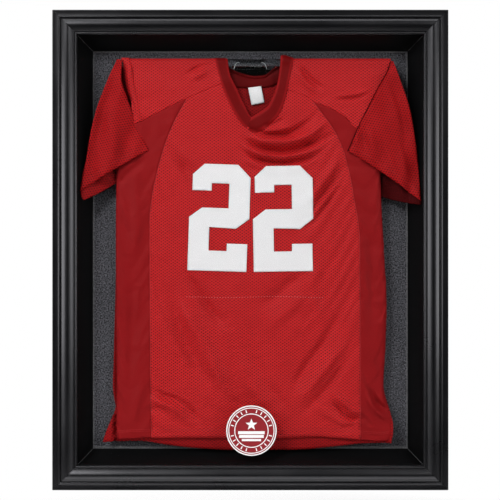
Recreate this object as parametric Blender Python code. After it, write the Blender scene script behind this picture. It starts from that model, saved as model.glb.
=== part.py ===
"""Wall-hung display case for a sports jersey.

A deep lined box carries a felt-covered backing panel and an open-topped rod cradle. A mitred, moulded door
with an acrylic pane closes the box and swings on two butt hinges at its left side. The jersey hangs on a
clear rod.

Metres, +Z up, +X to the viewer's right, the wall behind at +Y. The origin is the centre of the case's rear
face, so a point at a depth d in front of that face has y = -d. An inset is measured inwards from the door's
outer edge.
"""

import math

import bmesh
import bpy
from mathutils import Vector

# Driving dimensions
OUTER_WIDTH = 0.864
OUTER_HEIGHT = 1.048
CASE_DEPTH = 0.083
GAP = 0.0003
MITRE_SHIFT = 0.5 * GAP * math.sqrt(2.0)
SIDES = ("left", "right", "top", "bottom")

# Box
BOX_INSET = 0.010
BOX_DEPTH = 0.062
BOX_WALL = 0.020
BOX_FLANGE_INSET = 0.0465
BOX_FLANGE_THICKNESS = 0.010
BACK_BOARD_THICKNESS = 0.003
BACK_BOARD_LAP = 0.008
PANEL_THICKNESS = 0.006
PANEL_FACE = BACK_BOARD_THICKNESS + GAP + PANEL_THICKNESS

# Slanted liner between the sight opening and the panel
LINER_FRONT_INSET = 0.0535
LINER_REAR_INSET = 0.0802
LINER_TOE_INSET = 0.0845
LINER_TOE_THICKNESS = 0.0016

# Door
DOOR_REAR = BOX_DEPTH + GAP
SIGHT_INSET = 0.054
RABBET_INSET = 0.044
RABBET_DEPTH = 0.008
PANE_THICKNESS = 0.003
STOP_WIDTH = 0.0072
STOP_THICKNESS = 0.0041

# Hinges: rolled steel leaves, the knuckle hidden behind the door's overhang
HINGE_HEIGHTS = {"upper": 0.36, "lower": -0.36}
HINGE_AXIS = Vector((-0.4253, -0.0607, 0.0))
KNUCKLE_RADIUS = 0.003
LEAF_THICKNESS = 0.0012
LEAF_HEIGHT = 0.050
FRAME_LEAF_LENGTH = 0.024
DOOR_LEAF_LENGTH = 0.027
KNUCKLES = 5
PIN_RADIUS = 0.0014

# Catches
CATCH_INSET = 0.022
CATCH_HEIGHTS = {"upper": 0.33, "lower": -0.33}
MAGNET_RADIUS = 0.005
MAGNET_THICKNESS = 0.003
STRIKE_RADIUS = 0.006
STRIKE_THICKNESS = 0.0013

# Rod and its cradle
ROD_RADIUS = 0.008
ROD_LENGTH = 0.610
ROD_DEPTH = 0.030
ROD_HEIGHT = 0.415
CRADLE_WIDTH = 0.080
CRADLE_THICKNESS = 0.003
CRADLE_LIP_TOP = 0.418
CRADLE_BOTTOM = 0.350

# Hangers and bumpers on the rear face
REAR_STRIP_X = 0.416
HANGER_HEIGHT = 0.33
HANGER_WIDTH = 0.010
HANGER_BARREL = 0.0027
HANGER_LENGTH = 0.026
RING_WIRE = 0.001
RING_HALF_WIDTH = 0.008
RING_DROP = 0.006
BUMPER_HEIGHT = -0.505
BUMPER_RADIUS = 0.005
BUMPER_THICKNESS = 0.003

# Jersey, as flat closed solids
CLOTH = 0.003
JERSEY_REAR = 0.015
JERSEY_FRONT = 0.041
JERSEY_HALF_WIDTH = 0.300
JERSEY_TOP = 0.4265
FRONT_HEM = -0.419
BACK_HEM = -0.441
NECK_X = 0.008
YOKE_NECK_X = 0.062
YOKE_NECK_Z = 0.363
YOKE_SIDE_X = 0.296
YOKE_SIDE_Z = 0.270
NUMBER_WIDTH = 0.133
NUMBER_HEIGHT = 0.237
NUMBER_CENTRES = {"left": (-0.069, 0.071), "right": (0.073, 0.068)}
EMBLEM_RADIUS = 0.055
EMBLEM_HEIGHT = -0.3945

# name: (colour, roughness, metallic)
FINISHES = {
    "black_lacquer": ((0.012, 0.012, 0.014), 0.32, 0.0),
    "black_liner": ((0.008, 0.008, 0.009), 0.55, 0.0),
    "charcoal_felt": ((0.075, 0.076, 0.080), 0.95, 0.0),
    "hardboard": ((0.22, 0.13, 0.07), 0.80, 0.0),
    "clear_acrylic": ((0.90, 0.93, 0.95), 0.05, 0.0),
    "zinc_steel": ((0.62, 0.62, 0.60), 0.35, 0.9),
    "magnet": ((0.45, 0.45, 0.47), 0.30, 0.9),
    "rubber": ((0.03, 0.03, 0.03), 0.85, 0.0),
    "red_mesh": ((0.45, 0.018, 0.026), 0.75, 0.0),
    "red_knit": ((0.28, 0.012, 0.018), 0.80, 0.0),
    "white_twill": ((0.82, 0.82, 0.83), 0.65, 0.0),
    "emblem_print": ((0.80, 0.80, 0.80), 0.35, 0.0),
}


# Shared tools


def clear_scene():
    for old in list(bpy.data.objects):
        bpy.data.objects.remove(old, do_unlink=True)


def finish(name):
    """The named Principled material, made once."""
    made = bpy.data.materials.get(name)
    if made is None:
        colour, roughness, metallic = FINISHES[name]
        made = bpy.data.materials.new(name)
        made.use_nodes = True
        shader = made.node_tree.nodes["Principled BSDF"]
        shader.inputs["Base Color"].default_value = (*colour, 1.0)
        shader.inputs["Roughness"].default_value = roughness
        shader.inputs["Metallic"].default_value = metallic
        made.diffuse_color = (*colour, 1.0)
    return made


def attach(obj, parent):
    """Hang an object from an unrotated empty, keeping its place in the world."""
    if parent is not None:
        obj.location = Vector(obj.location) - Vector(parent.location)
        obj.parent = parent
    return obj


def pivot(name, location):
    empty = bpy.data.objects.new(name, None)
    empty.location = location
    bpy.context.scene.collection.objects.link(empty)
    return empty


def solid(name, mesh_data, coat, location, rotation=(0.0, 0.0, 0.0), parent=None, smooth=False):
    """A closed mesh as a named object with its own material."""
    bmesh.ops.recalc_face_normals(mesh_data, faces=mesh_data.faces)
    mesh = bpy.data.meshes.new(name)
    mesh_data.to_mesh(mesh)
    mesh_data.free()
    if smooth:
        mesh.shade_smooth()
        mesh.set_sharp_from_angle(angle=math.radians(35.0))
    obj = bpy.data.objects.new(name, mesh)
    obj.location = location
    obj.rotation_euler = rotation
    mesh.materials.append(finish(coat))
    bpy.context.scene.collection.objects.link(obj)
    return attach(obj, parent)


def loft(rings):
    """A closed mesh through rings of equal length, capped at both ends."""
    mesh_data = bmesh.new()
    loops = [[mesh_data.verts.new(point) for point in ring] for ring in rings]
    for near, far in zip(loops, loops[1:]):
        for i, vert in enumerate(near):
            after = (i + 1) % len(near)
            mesh_data.faces.new((vert, near[after], far[after], far[i]))
    mesh_data.faces.new(reversed(loops[0]))
    mesh_data.faces.new(loops[-1])
    return mesh_data


def mitred_rail(name, side, profile, coat, parent=None):
    """One side of a frame with 45 degree ends, its profile a list of (inset, depth)."""
    length = OUTER_WIDTH if side in ("top", "bottom") else OUTER_HEIGHT
    rings = [
        [(sign * (0.5 * length - inset - MITRE_SHIFT), -depth, inset) for inset, depth in profile]
        for sign in (-1.0, 1.0)
    ]
    middle, angle = {
        "bottom": ((0.0, 0.0, -0.5 * OUTER_HEIGHT), 0.0),
        "top": ((0.0, 0.0, 0.5 * OUTER_HEIGHT), math.pi),
        "left": ((-0.5 * OUTER_WIDTH, 0.0, 0.0), 0.5 * math.pi),
        "right": ((0.5 * OUTER_WIDTH, 0.0, 0.0), -0.5 * math.pi),
    }[side]
    return solid(name, loft(rings), coat, middle, (0.0, angle, 0.0), parent, smooth=True)


def plate(name, outline, near, far, coat, centre=(0.0, 0.0), parent=None, tilt=0.0):
    """A flat piece: an (x, z) outline about its centre, between two depths."""
    rings = [[(x, -depth, z) for x, z in outline] for depth in (near, far)]
    place = (centre[0], 0.0, centre[1])
    return solid(name, loft(rings), coat, place, (0.0, tilt, 0.0), parent)


def rectangle(width, height):
    return [
        (-0.5 * width, -0.5 * height),
        (0.5 * width, -0.5 * height),
        (0.5 * width, 0.5 * height),
        (-0.5 * width, 0.5 * height),
    ]


def circle(radius, sides):
    angles = [2.0 * math.pi * i / sides for i in range(sides)]
    return [(radius * math.cos(angle), radius * math.sin(angle)) for angle in angles]


def turned(name, stations, location, rotation, coat, parent=None, sides=12):
    """A round piece along its local Z, from (height, radius) stations."""
    rings = [[(x, y, height) for x, y in circle(radius, sides)] for height, radius in stations]
    return solid(name, loft(rings), coat, location, rotation, parent, smooth=True)


def arc(centre, radius, start, end, steps):
    """Points on an arc between two angles in degrees, both ends included."""
    points = []
    for i in range(steps + 1):
        angle = math.radians(start + (end - start) * i / steps)
        points.append((centre[0] + radius * math.cos(angle), centre[1] + radius * math.sin(angle)))
    return points


def as_cutter(obj):
    obj.hide_render = True
    obj.display_type = "WIRE"
    return obj


def cut(target, cutter):
    modifier = target.modifiers.new("cut_" + cutter.name, "BOOLEAN")
    modifier.operation = "DIFFERENCE"
    modifier.solver = "EXACT"
    modifier.object = cutter


def box_cutter(name, low, high, parent=None):
    """A box between two world corners, for cutting pockets."""
    middle = 0.5 * (Vector(low) + Vector(high))
    half = 0.5 * (Vector(high) - Vector(low))
    rings = [[(x * half.x, y * half.y, z * half.z) for x, y in rectangle(2.0, 2.0)] for z in (-1, 1)]
    return as_cutter(solid(name, loft(rings), "magnet", middle, parent=parent))


def screw(name, location, rotation, length, shank, head, through, parent=None):
    """A steel screw, its countersunk head flush at its location, and its hole through what it fastens."""
    cone = head - shank
    stations = [(-length, 0.3 * shank), (-length + 2.0 * shank, shank), (-cone, shank), (0.0, head)]
    made = turned(name, stations, location, rotation, "zinc_steel", parent)
    hole = [
        (-length - GAP, shank + GAP),
        (-cone - GAP, shank + GAP),
        (0.0, head + GAP),
        (2.0 * GAP, head + GAP),
    ]
    cutter = as_cutter(turned("hole_" + name, hole, location, rotation, "zinc_steel", parent))
    for target in through:
        cut(target, cutter)
    return made


def rolled_strap(name, width, length, barrel, location, rotation, parent=None):
    """A steel strip along local +X whose end is rolled about local Z into a barrel at the origin."""
    inner = barrel - LEAF_THICKNESS
    outline = [(length, -barrel)]
    outline += arc((0.0, 0.0), barrel, -90.0, -390.0, 12)
    outline += arc((0.0, 0.0), inner, -390.0, -90.0, 12)
    outline += [(length, -inner)]
    rings = [[(x, y, height) for x, y in outline] for height in (-0.5 * width, 0.5 * width)]
    return solid(name, loft(rings), "zinc_steel", location, rotation, parent, smooth=True)


# Box: rails, liners, back


def build_box():
    wall_inner = BOX_INSET + BOX_WALL
    lap_inset = wall_inner - BACK_BOARD_LAP
    lap_depth = BACK_BOARD_THICKNESS + GAP
    flange_rear = BOX_DEPTH - BOX_FLANGE_THICKNESS
    rail_profile = [
        (BOX_INSET, 0.0),
        (BOX_INSET, BOX_DEPTH),
        (BOX_FLANGE_INSET, BOX_DEPTH),
        (BOX_FLANGE_INSET, flange_rear),
        (wall_inner, flange_rear),
        (wall_inner, lap_depth),
        (lap_inset, lap_depth),
        (lap_inset, 0.0),
    ]
    liner_front = BOX_DEPTH - GAP
    liner_rear = PANEL_FACE + GAP
    toe_front = liner_rear + LINER_TOE_THICKNESS
    edge_inset = BOX_FLANGE_INSET + GAP
    liner_profile = [
        (LINER_FRONT_INSET, liner_front),
        (edge_inset, liner_front),
        (edge_inset, liner_front - 0.5 * BOX_FLANGE_THICKNESS),
        (LINER_REAR_INSET - (LINER_FRONT_INSET - edge_inset), liner_rear),
        (LINER_TOE_INSET, liner_rear),
        (LINER_TOE_INSET, toe_front),
        (LINER_REAR_INSET, toe_front),
    ]
    rails = {}
    for side in SIDES:
        rails[side] = mitred_rail("box_rail_" + side, side, rail_profile, "black_lacquer")
        mitred_rail("liner_" + side, side, liner_profile, "black_liner")
    board_inset = lap_inset + GAP
    board = rectangle(OUTER_WIDTH - 2.0 * board_inset, OUTER_HEIGHT - 2.0 * board_inset)
    plate("back_board", board, 0.0, BACK_BOARD_THICKNESS, "hardboard")
    panel_inset = wall_inner + GAP
    covered = rectangle(OUTER_WIDTH - 2.0 * panel_inset, OUTER_HEIGHT - 2.0 * panel_inset)
    panel = plate("backing_panel", covered, lap_depth, PANEL_FACE, "charcoal_felt")
    return rails, panel


# Door: moulding, pane, stops, emblem


def moulding_profile():
    """The door's section as (inset, depth): an outer flat, a bead, a broad cushion, two fine beads."""
    cushion_start, cushion_peak, cushion_end = 0.0226, 0.0340, 0.0454
    start_depth, end_depth = 0.0760, 0.0772
    profile = [(0.0, DOOR_REAR)]
    profile += arc((0.0014, 0.0736), 0.0014, 180.0, 90.0, 3)
    profile += [(0.0038, 0.0750), (0.0043, 0.0743), (0.0124, 0.0743)]
    profile += arc((0.0160, 0.0748), 0.0032, 180.0, 0.0, 8)
    profile += [(0.0198, 0.0743), (0.0222, 0.0746)]
    for i in range(7):
        turn = 0.5 * math.pi * i / 6
        inset = cushion_peak - (cushion_peak - cushion_start) * math.cos(turn)
        profile.append((inset, start_depth + (CASE_DEPTH - start_depth) * math.sin(turn)))
    for i in range(1, 8):
        share = i / 7
        fall = 0.5 + 0.5 * math.cos(math.pi * share)
        inset = cushion_peak + (cushion_end - cushion_peak) * share
        profile.append((inset, end_depth + (CASE_DEPTH - end_depth) * fall))
    profile += arc((0.0469, 0.0773), 0.0012, 180.0, 0.0, 5)
    profile += [(0.0486, 0.0766), (0.0494, 0.0766)]
    profile += arc((0.0518, 0.0768), 0.0022, 180.0, 0.0, 6)
    rabbet_front = DOOR_REAR + RABBET_DEPTH
    profile += [(SIGHT_INSET, rabbet_front), (RABBET_INSET, rabbet_front), (RABBET_INSET, DOOR_REAR)]
    return profile


def build_door(door):
    rails = {}
    for side in SIDES:
        rails[side] = mitred_rail("door_rail_" + side, side, moulding_profile(), "black_lacquer", door)
    pane_inset = RABBET_INSET + GAP
    pane_front = DOOR_REAR + RABBET_DEPTH - GAP
    pane_rear = pane_front - PANE_THICKNESS
    glazing = rectangle(OUTER_WIDTH - 2.0 * pane_inset, OUTER_HEIGHT - 2.0 * pane_inset)
    plate("acrylic_pane", glazing, pane_rear, pane_front, "clear_acrylic", parent=door)
    stop_front = pane_rear - GAP
    stop_profile = [
        (pane_inset, stop_front - STOP_THICKNESS),
        (pane_inset, stop_front),
        (pane_inset + STOP_WIDTH, stop_front),
        (pane_inset + STOP_WIDTH, stop_front - STOP_THICKNESS),
    ]
    for side in SIDES:
        mitred_rail("pane_stop_" + side, side, stop_profile, "black_lacquer", door)
    emblem_rear = pane_front + GAP
    badge = circle(EMBLEM_RADIUS, 32)
    plate("emblem", badge, emblem_rear, emblem_rear + 0.0008, "emblem_print", (0.0024, EMBLEM_HEIGHT), door)
    return rails


# Hinges and catches


def build_hinge(place, height, box_rail, door_rail, door):
    """One butt hinge: the frame leaf keeps the odd knuckles, the door leaf the even ones."""
    prefix = "hinge_" + place + "_"
    axis = HINGE_AXIS + Vector((0.0, 0.0, height))
    quarter = 0.5 * math.pi
    frame_leaf = rolled_strap(
        prefix + "frame_leaf", LEAF_HEIGHT, FRAME_LEAF_LENGTH, KNUCKLE_RADIUS, axis, (0.0, 0.0, quarter)
    )
    door_leaf = rolled_strap(
        prefix + "door_leaf", LEAF_HEIGHT, DOOR_LEAF_LENGTH, KNUCKLE_RADIUS, axis, (0.0, 0.0, 0.0), door
    )
    step = LEAF_HEIGHT / KNUCKLES
    reach = KNUCKLE_RADIUS + GAP
    for i in range(KNUCKLES):
        middle = height + step * (i - 0.5 * (KNUCKLES - 1))
        half = 0.5 * step + 0.5 * GAP
        low = (axis.x - 2.0 * KNUCKLE_RADIUS, axis.y - 2.0 * KNUCKLE_RADIUS, middle - half)
        high = (axis.x + 2.0 * KNUCKLE_RADIUS, axis.y + 2.0 * KNUCKLE_RADIUS, middle + half)
        if i % 2:
            high = (high[0], axis.y + reach, high[2])
            cut(frame_leaf, box_cutter(prefix + f"frame_notch_{i}", low, high))
        else:
            high = (axis.x + reach, high[1], high[2])
            cut(door_leaf, box_cutter(prefix + f"door_notch_{i}", low, high, door))
    head = 0.5 * LEAF_HEIGHT + GAP
    pin = [
        (-head - 0.0013, 0.0024),
        (-head, 0.0024),
        (-head, PIN_RADIUS),
        (head, PIN_RADIUS),
        (head, 0.0024),
        (head + 0.0013, 0.0024),
    ]
    turned(prefix + "pin", pin, axis, (0.0, 0.0, 0.0), "zinc_steel")
    pocket_low = (axis.x - 0.0033, -DOOR_REAR - 0.0017, height - 0.0273)
    pocket_high = (axis.x + DOOR_LEAF_LENGTH + GAP, -DOOR_REAR + 0.001, height + 0.0273)
    cut(door_rail, box_cutter(prefix + "mortise", pocket_low, pocket_high, door))
    inner = KNUCKLE_RADIUS - LEAF_THICKNESS
    for i, rise in enumerate((0.015, -0.015), start=1):
        frame_spot = axis + Vector((inner, 0.015, rise))
        door_spot = axis + Vector((0.017, -inner, rise))
        frame_name = prefix + f"frame_screw_{i}"
        door_name = prefix + f"door_screw_{i}"
        screw(frame_name, frame_spot, (0.0, -quarter, 0.0), 0.011, 0.0013, 0.0025, (frame_leaf, box_rail))
        fastened = (door_leaf, door_rail)
        screw(door_name, door_spot, (-quarter, 0.0, 0.0), 0.009, 0.0013, 0.0025, fastened, door)


def build_catch(place, height, box_rail, door_rail, door):
    """A round magnet let into the box's face, and a steel strike let into the door's rear."""
    centre = (0.5 * OUTER_WIDTH - CATCH_INSET, height)
    magnet_front = BOX_DEPTH - 0.5 * GAP
    magnet_rear = magnet_front - MAGNET_THICKNESS
    pocket = circle(MAGNET_RADIUS + GAP, 16)
    hole = plate("magnet_hole_" + place, pocket, magnet_rear - GAP, BOX_DEPTH + 0.001, "magnet", centre)
    cut(box_rail, as_cutter(hole))
    plate("catch_magnet_" + place, circle(MAGNET_RADIUS, 16), magnet_rear, magnet_front, "magnet", centre)
    strike_rear = DOOR_REAR + 0.5 * GAP
    strike_front = strike_rear + STRIKE_THICKNESS
    pocket = circle(STRIKE_RADIUS + GAP, 16)
    hole_front = strike_front + GAP
    hole = plate("strike_hole_" + place, pocket, DOOR_REAR - 0.001, hole_front, "magnet", centre, door)
    cut(door_rail, as_cutter(hole))
    disc = circle(STRIKE_RADIUS, 16)
    plate("catch_strike_" + place, disc, strike_rear, strike_front, "zinc_steel", centre, door)


# Rod and cradle


def build_cradle(panel):
    """A J-bent acrylic strip, open at the top, screwed through the panel."""
    rear = PANEL_FACE + GAP
    face = rear + CRADLE_THICKNESS
    shelf_top = ROD_HEIGHT - ROD_RADIUS - 0.0005
    shelf_bottom = shelf_top - CRADLE_THICKNESS
    lip_rear = ROD_DEPTH + ROD_RADIUS + 0.0005
    lip_front = lip_rear + CRADLE_THICKNESS
    corner = 0.006
    section = [(rear, CRADLE_BOTTOM), (face, CRADLE_BOTTOM), (face, shelf_bottom)]
    section += arc((lip_front - corner, shelf_bottom + corner), corner, -90.0, 0.0, 4)
    section += [(lip_front, CRADLE_LIP_TOP), (lip_rear, CRADLE_LIP_TOP)]
    section += arc((lip_front - corner, shelf_bottom + corner), corner - CRADLE_THICKNESS, 0.0, -90.0, 4)
    section += [(face, shelf_top), (face, CRADLE_LIP_TOP), (rear, CRADLE_LIP_TOP)]
    edge = 0.5 * CRADLE_WIDTH
    rings = [[(x, -depth, height) for depth, height in section] for x in (-edge, edge)]
    cradle = solid("rod_cradle", loft(rings), "clear_acrylic", (0.0, 0.0, 0.0), smooth=True)
    over = 0.002
    for sign, side in ((-1.0, "left"), (1.0, "right")):
        corner_cut = [
            (sign * (edge + over), shelf_top),
            (sign * (edge + over), CRADLE_LIP_TOP + over),
            (sign * (edge - 0.010), CRADLE_LIP_TOP + over),
            (sign * edge, shelf_top),
        ]
        wedge = plate("cradle_corner_" + side, corner_cut, rear - over, lip_front + over, "magnet")
        cut(cradle, as_cutter(wedge))
        spot = (sign * 0.022, -face, 0.372)
        turn = (0.5 * math.pi, 0.0, 0.0)
        length = face - BACK_BOARD_THICKNESS - 2.0 * GAP
        screw("cradle_screw_" + side, spot, turn, length - GAP, 0.0014, 0.0028, (cradle, panel))


def build_rod(hanging):
    half = 0.5 * ROD_LENGTH
    ease = 0.0008
    stations = [
        (-half, ROD_RADIUS - ease),
        (-half + ease, ROD_RADIUS),
        (half - ease, ROD_RADIUS),
        (half, ROD_RADIUS - ease),
    ]
    place = (0.0, -ROD_DEPTH, ROD_HEIGHT)
    turned("display_rod", stations, place, (0.0, 0.5 * math.pi, 0.0), "clear_acrylic", hanging, sides=20)


# Jersey


def yoke_edge(distance):
    """Height of the yoke seam at a distance from the jersey's middle."""
    share = (distance - YOKE_NECK_X) / (YOKE_SIDE_X - YOKE_NECK_X)
    return YOKE_NECK_Z + (YOKE_SIDE_Z - YOKE_NECK_Z) * share


def build_jersey_panels(hanging):
    seam = 0.0005
    edge = yoke_edge(JERSEY_HALF_WIDTH) - seam
    neck = yoke_edge(YOKE_NECK_X) - seam
    front = [
        (-JERSEY_HALF_WIDTH, FRONT_HEM),
        (JERSEY_HALF_WIDTH, FRONT_HEM),
        (JERSEY_HALF_WIDTH, edge),
        (YOKE_NECK_X + NECK_X, yoke_edge(YOKE_NECK_X + NECK_X) - seam),
        (NECK_X, 0.276),
        (-YOKE_NECK_X, neck),
        (-JERSEY_HALF_WIDTH, edge),
    ]
    plate("jersey_front", front, JERSEY_FRONT, JERSEY_FRONT + CLOTH, "red_mesh", parent=hanging)
    back = [
        (-0.322, BACK_HEM + 0.014),
        (-0.120, BACK_HEM),
        (0.120, BACK_HEM),
        (0.314, BACK_HEM + 0.014),
        (JERSEY_HALF_WIDTH, -0.300),
        (JERSEY_HALF_WIDTH, edge),
        (YOKE_NECK_X, neck),
        (0.056, 0.400),
        (0.046, 0.388),
        (-0.044, 0.388),
        (-0.054, 0.400),
        (-YOKE_NECK_X, neck),
        (-JERSEY_HALF_WIDTH, edge),
        (-JERSEY_HALF_WIDTH, -0.300),
    ]
    plate("jersey_back", back, JERSEY_REAR, JERSEY_REAR + CLOTH, "red_mesh", parent=hanging)


def build_jersey_shoulder(side, sign, hanging):
    """The yoke over the rod: an inverted U from the neck to the side, its lower edge on the yoke seam."""
    rear, front = JERSEY_REAR, JERSEY_FRONT + CLOTH
    rings = []
    for x in (YOKE_NECK_X + 0.001, YOKE_SIDE_X):
        low = yoke_edge(x)
        section = [
            (front, low),
            (front, JERSEY_TOP),
            (rear, JERSEY_TOP),
            (rear, low),
            (rear + CLOTH, low),
            (rear + CLOTH, JERSEY_TOP - CLOTH),
            (front - CLOTH, JERSEY_TOP - CLOTH),
            (front - CLOTH, low),
        ]
        rings.append([(sign * x, -depth, height) for depth, height in section])
    solid("jersey_shoulder_" + side, loft(rings), "red_mesh", (0.0, 0.0, 0.0), parent=hanging)


def build_jersey_sleeve(side, sign, hanging):
    """A flat flared sleeve that leans forward from the shoulder towards the pane."""
    outline = [
        (0.282, 0.378),
        (0.284, 0.424),
        (0.298, 0.424),
        (0.342, 0.312),
        (0.366, 0.193),
        (0.373, 0.133),
        (0.366, 0.112),
        (0.298, 0.146),
        (0.224, 0.220),
        (0.262, 0.320),
    ]
    lean = 0.0805
    root_x, root_depth = 0.224, 0.0452
    rings = []
    for thickness in (0.0, CLOTH):
        rings.append([(sign * x, -(root_depth + thickness + lean * (x - root_x)), z) for x, z in outline])
    solid("jersey_sleeve_" + side, loft(rings), "red_mesh", (0.0, 0.0, 0.0), parent=hanging)


def build_jersey_collar(hanging):
    """The V of the collar's front, outer edge down and inner edge back."""
    outer = [(0.089, 0.424), (0.078, 0.380), (0.067, 0.338), (0.045, 0.295)]
    inner = [(0.026, 0.318), (0.043, 0.345), (0.056, 0.395), (0.059, 0.424)]
    outline = [(-x, z) for x, z in outer] + [(0.0, 0.259)] + list(reversed(outer))
    outline += list(reversed(inner)) + [(0.0, 0.293)] + [(-x, z) for x, z in inner]
    front = JERSEY_FRONT + CLOTH + GAP
    plate("jersey_collar", outline, front, front + 0.002, "red_knit", (NECK_X, 0.0), hanging)


def block_two(width, height):
    """A block figure two with chamfered shoulders, as shares of its width and height."""
    bar, foot = 0.18, 0.81
    stem_left, stem_right = 0.34, 0.64
    shares = [
        (0.04, 0.25),
        (0.04, 0.10),
        (0.23, 0.0),
        (0.79, 0.0),
        (1.0, 0.12),
        (1.0, 0.505),
        (0.78, 0.60),
        (stem_left, 0.59),
        (stem_left, foot),
        (stem_right, foot),
        (stem_right, 0.74),
        (0.98, 0.74),
        (0.98, 1.0),
        (0.0, 1.0),
        (0.0, 0.50),
        (0.21, 0.41),
        (stem_right + 0.01, 0.41),
        (stem_right + 0.01, bar),
        (stem_left + 0.02, bar),
        (stem_left + 0.02, 0.25),
    ]
    return [((x - 0.5) * width, (0.5 - z) * height) for x, z in shares]


def build_jersey(hanging):
    build_jersey_panels(hanging)
    for side, sign in (("left", -1.0), ("right", 1.0)):
        build_jersey_shoulder(side, sign, hanging)
        build_jersey_sleeve(side, sign, hanging)
    build_jersey_collar(hanging)
    front = JERSEY_FRONT + CLOTH + GAP
    digit = block_two(NUMBER_WIDTH, NUMBER_HEIGHT)
    for side, centre in NUMBER_CENTRES.items():
        plate("jersey_number_" + side, digit, front, front + 0.001, "white_twill", centre, hanging)
    label_rear = JERSEY_REAR + CLOTH + GAP
    label = rectangle(0.029, 0.040)
    tilt = math.radians(-7.0)
    plate("neck_label", label, label_rear, label_rear + 0.0008, "white_twill", (0.013, 0.343), hanging, tilt)


# Rear hardware


def build_hanger(side, sign, box_rail):
    """A D-ring hanger: a rolled strap with one screw, and a wire ring that hangs from its barrel."""
    centre = Vector((sign * REAR_STRIP_X, GAP + HANGER_BARREL, HANGER_HEIGHT))
    down = (0.0, 0.5 * math.pi, 0.0)
    strap = rolled_strap("hanger_strap_" + side, HANGER_WIDTH, HANGER_LENGTH, HANGER_BARREL, centre, down)
    spot = (centre.x, GAP + LEAF_THICKNESS, HANGER_HEIGHT - 0.020)
    turn = (-0.5 * math.pi, 0.0, 0.0)
    screw("hanger_screw_" + side, spot, turn, 0.012, 0.0016, 0.0030, (strap, box_rail))
    corner = 0.001
    path = [(-RING_HALF_WIDTH + corner, 0.0), (RING_HALF_WIDTH - corner, 0.0), (RING_HALF_WIDTH, -corner)]
    path += arc((0.0, -RING_DROP), RING_HALF_WIDTH, 0.0, -180.0, 8)
    path.append((-RING_HALF_WIDTH, -corner))
    curve = bpy.data.curves.new("hanger_ring_" + side, "CURVE")
    curve.dimensions = "3D"
    curve.bevel_depth = RING_WIRE
    curve.bevel_resolution = 1
    spline = curve.splines.new("POLY")
    spline.points.add(len(path) - 1)
    spline.use_cyclic_u = True
    for point, (x, z) in zip(spline.points, path):
        point.co = (x, 0.0, z, 1.0)
    curve.materials.append(finish("zinc_steel"))
    ring = bpy.data.objects.new("hanger_ring_" + side, curve)
    ring.location = centre
    bpy.context.scene.collection.objects.link(ring)


def build_bumpers():
    for side, sign in (("left", -1.0), ("right", 1.0)):
        centre = (sign * REAR_STRIP_X, BUMPER_HEIGHT)
        pad = circle(BUMPER_RADIUS, 16)
        plate("wall_bumper_" + side, pad, -GAP - BUMPER_THICKNESS, -GAP, "rubber", centre)


def main():
    clear_scene()
    door = pivot("door_pivot", HINGE_AXIS)
    hanging = pivot("rod_seat", (0.0, -ROD_DEPTH, ROD_HEIGHT))
    box_rails, panel = build_box()
    door_rails = build_door(door)
    for place, height in HINGE_HEIGHTS.items():
        build_hinge(place, height, box_rails["left"], door_rails["left"], door)
    for place, height in CATCH_HEIGHTS.items():
        build_catch(place, height, box_rails["right"], door_rails["right"], door)
    build_cradle(panel)
    build_rod(hanging)
    build_jersey(hanging)
    for side, sign in (("left", -1.0), ("right", 1.0)):
        build_hanger(side, sign, box_rails[side])
    build_bumpers()


main()
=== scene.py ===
"""Visual model of a wall-hung jersey display case: hinged moulded door, lined box, rod and hanging jersey."""

import math

import bmesh
import bpy
import numpy as np
from mathutils import Matrix, Vector
from mathutils.bvhtree import BVHTree


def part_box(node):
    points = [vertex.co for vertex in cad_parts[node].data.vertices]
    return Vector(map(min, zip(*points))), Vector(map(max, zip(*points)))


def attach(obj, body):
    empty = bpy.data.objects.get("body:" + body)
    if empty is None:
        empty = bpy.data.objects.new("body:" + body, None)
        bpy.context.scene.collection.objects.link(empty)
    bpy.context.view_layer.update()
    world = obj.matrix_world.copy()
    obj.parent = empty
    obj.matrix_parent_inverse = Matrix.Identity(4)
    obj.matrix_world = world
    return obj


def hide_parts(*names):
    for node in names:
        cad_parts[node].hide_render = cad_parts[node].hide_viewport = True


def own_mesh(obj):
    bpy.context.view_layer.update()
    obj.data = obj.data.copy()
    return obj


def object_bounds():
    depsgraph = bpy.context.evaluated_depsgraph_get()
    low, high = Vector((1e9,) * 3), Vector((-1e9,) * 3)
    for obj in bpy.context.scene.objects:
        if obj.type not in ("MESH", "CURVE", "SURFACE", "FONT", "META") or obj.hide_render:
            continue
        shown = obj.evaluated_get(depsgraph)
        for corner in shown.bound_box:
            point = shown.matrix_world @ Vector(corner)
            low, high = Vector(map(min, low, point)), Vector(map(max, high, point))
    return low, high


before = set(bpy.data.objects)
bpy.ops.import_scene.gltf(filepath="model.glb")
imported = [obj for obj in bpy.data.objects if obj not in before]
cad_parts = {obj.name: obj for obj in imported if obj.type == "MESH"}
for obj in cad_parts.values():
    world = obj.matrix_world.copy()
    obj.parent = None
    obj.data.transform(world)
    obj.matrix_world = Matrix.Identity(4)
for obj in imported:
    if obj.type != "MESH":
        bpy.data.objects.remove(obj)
CAD_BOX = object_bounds()

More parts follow.
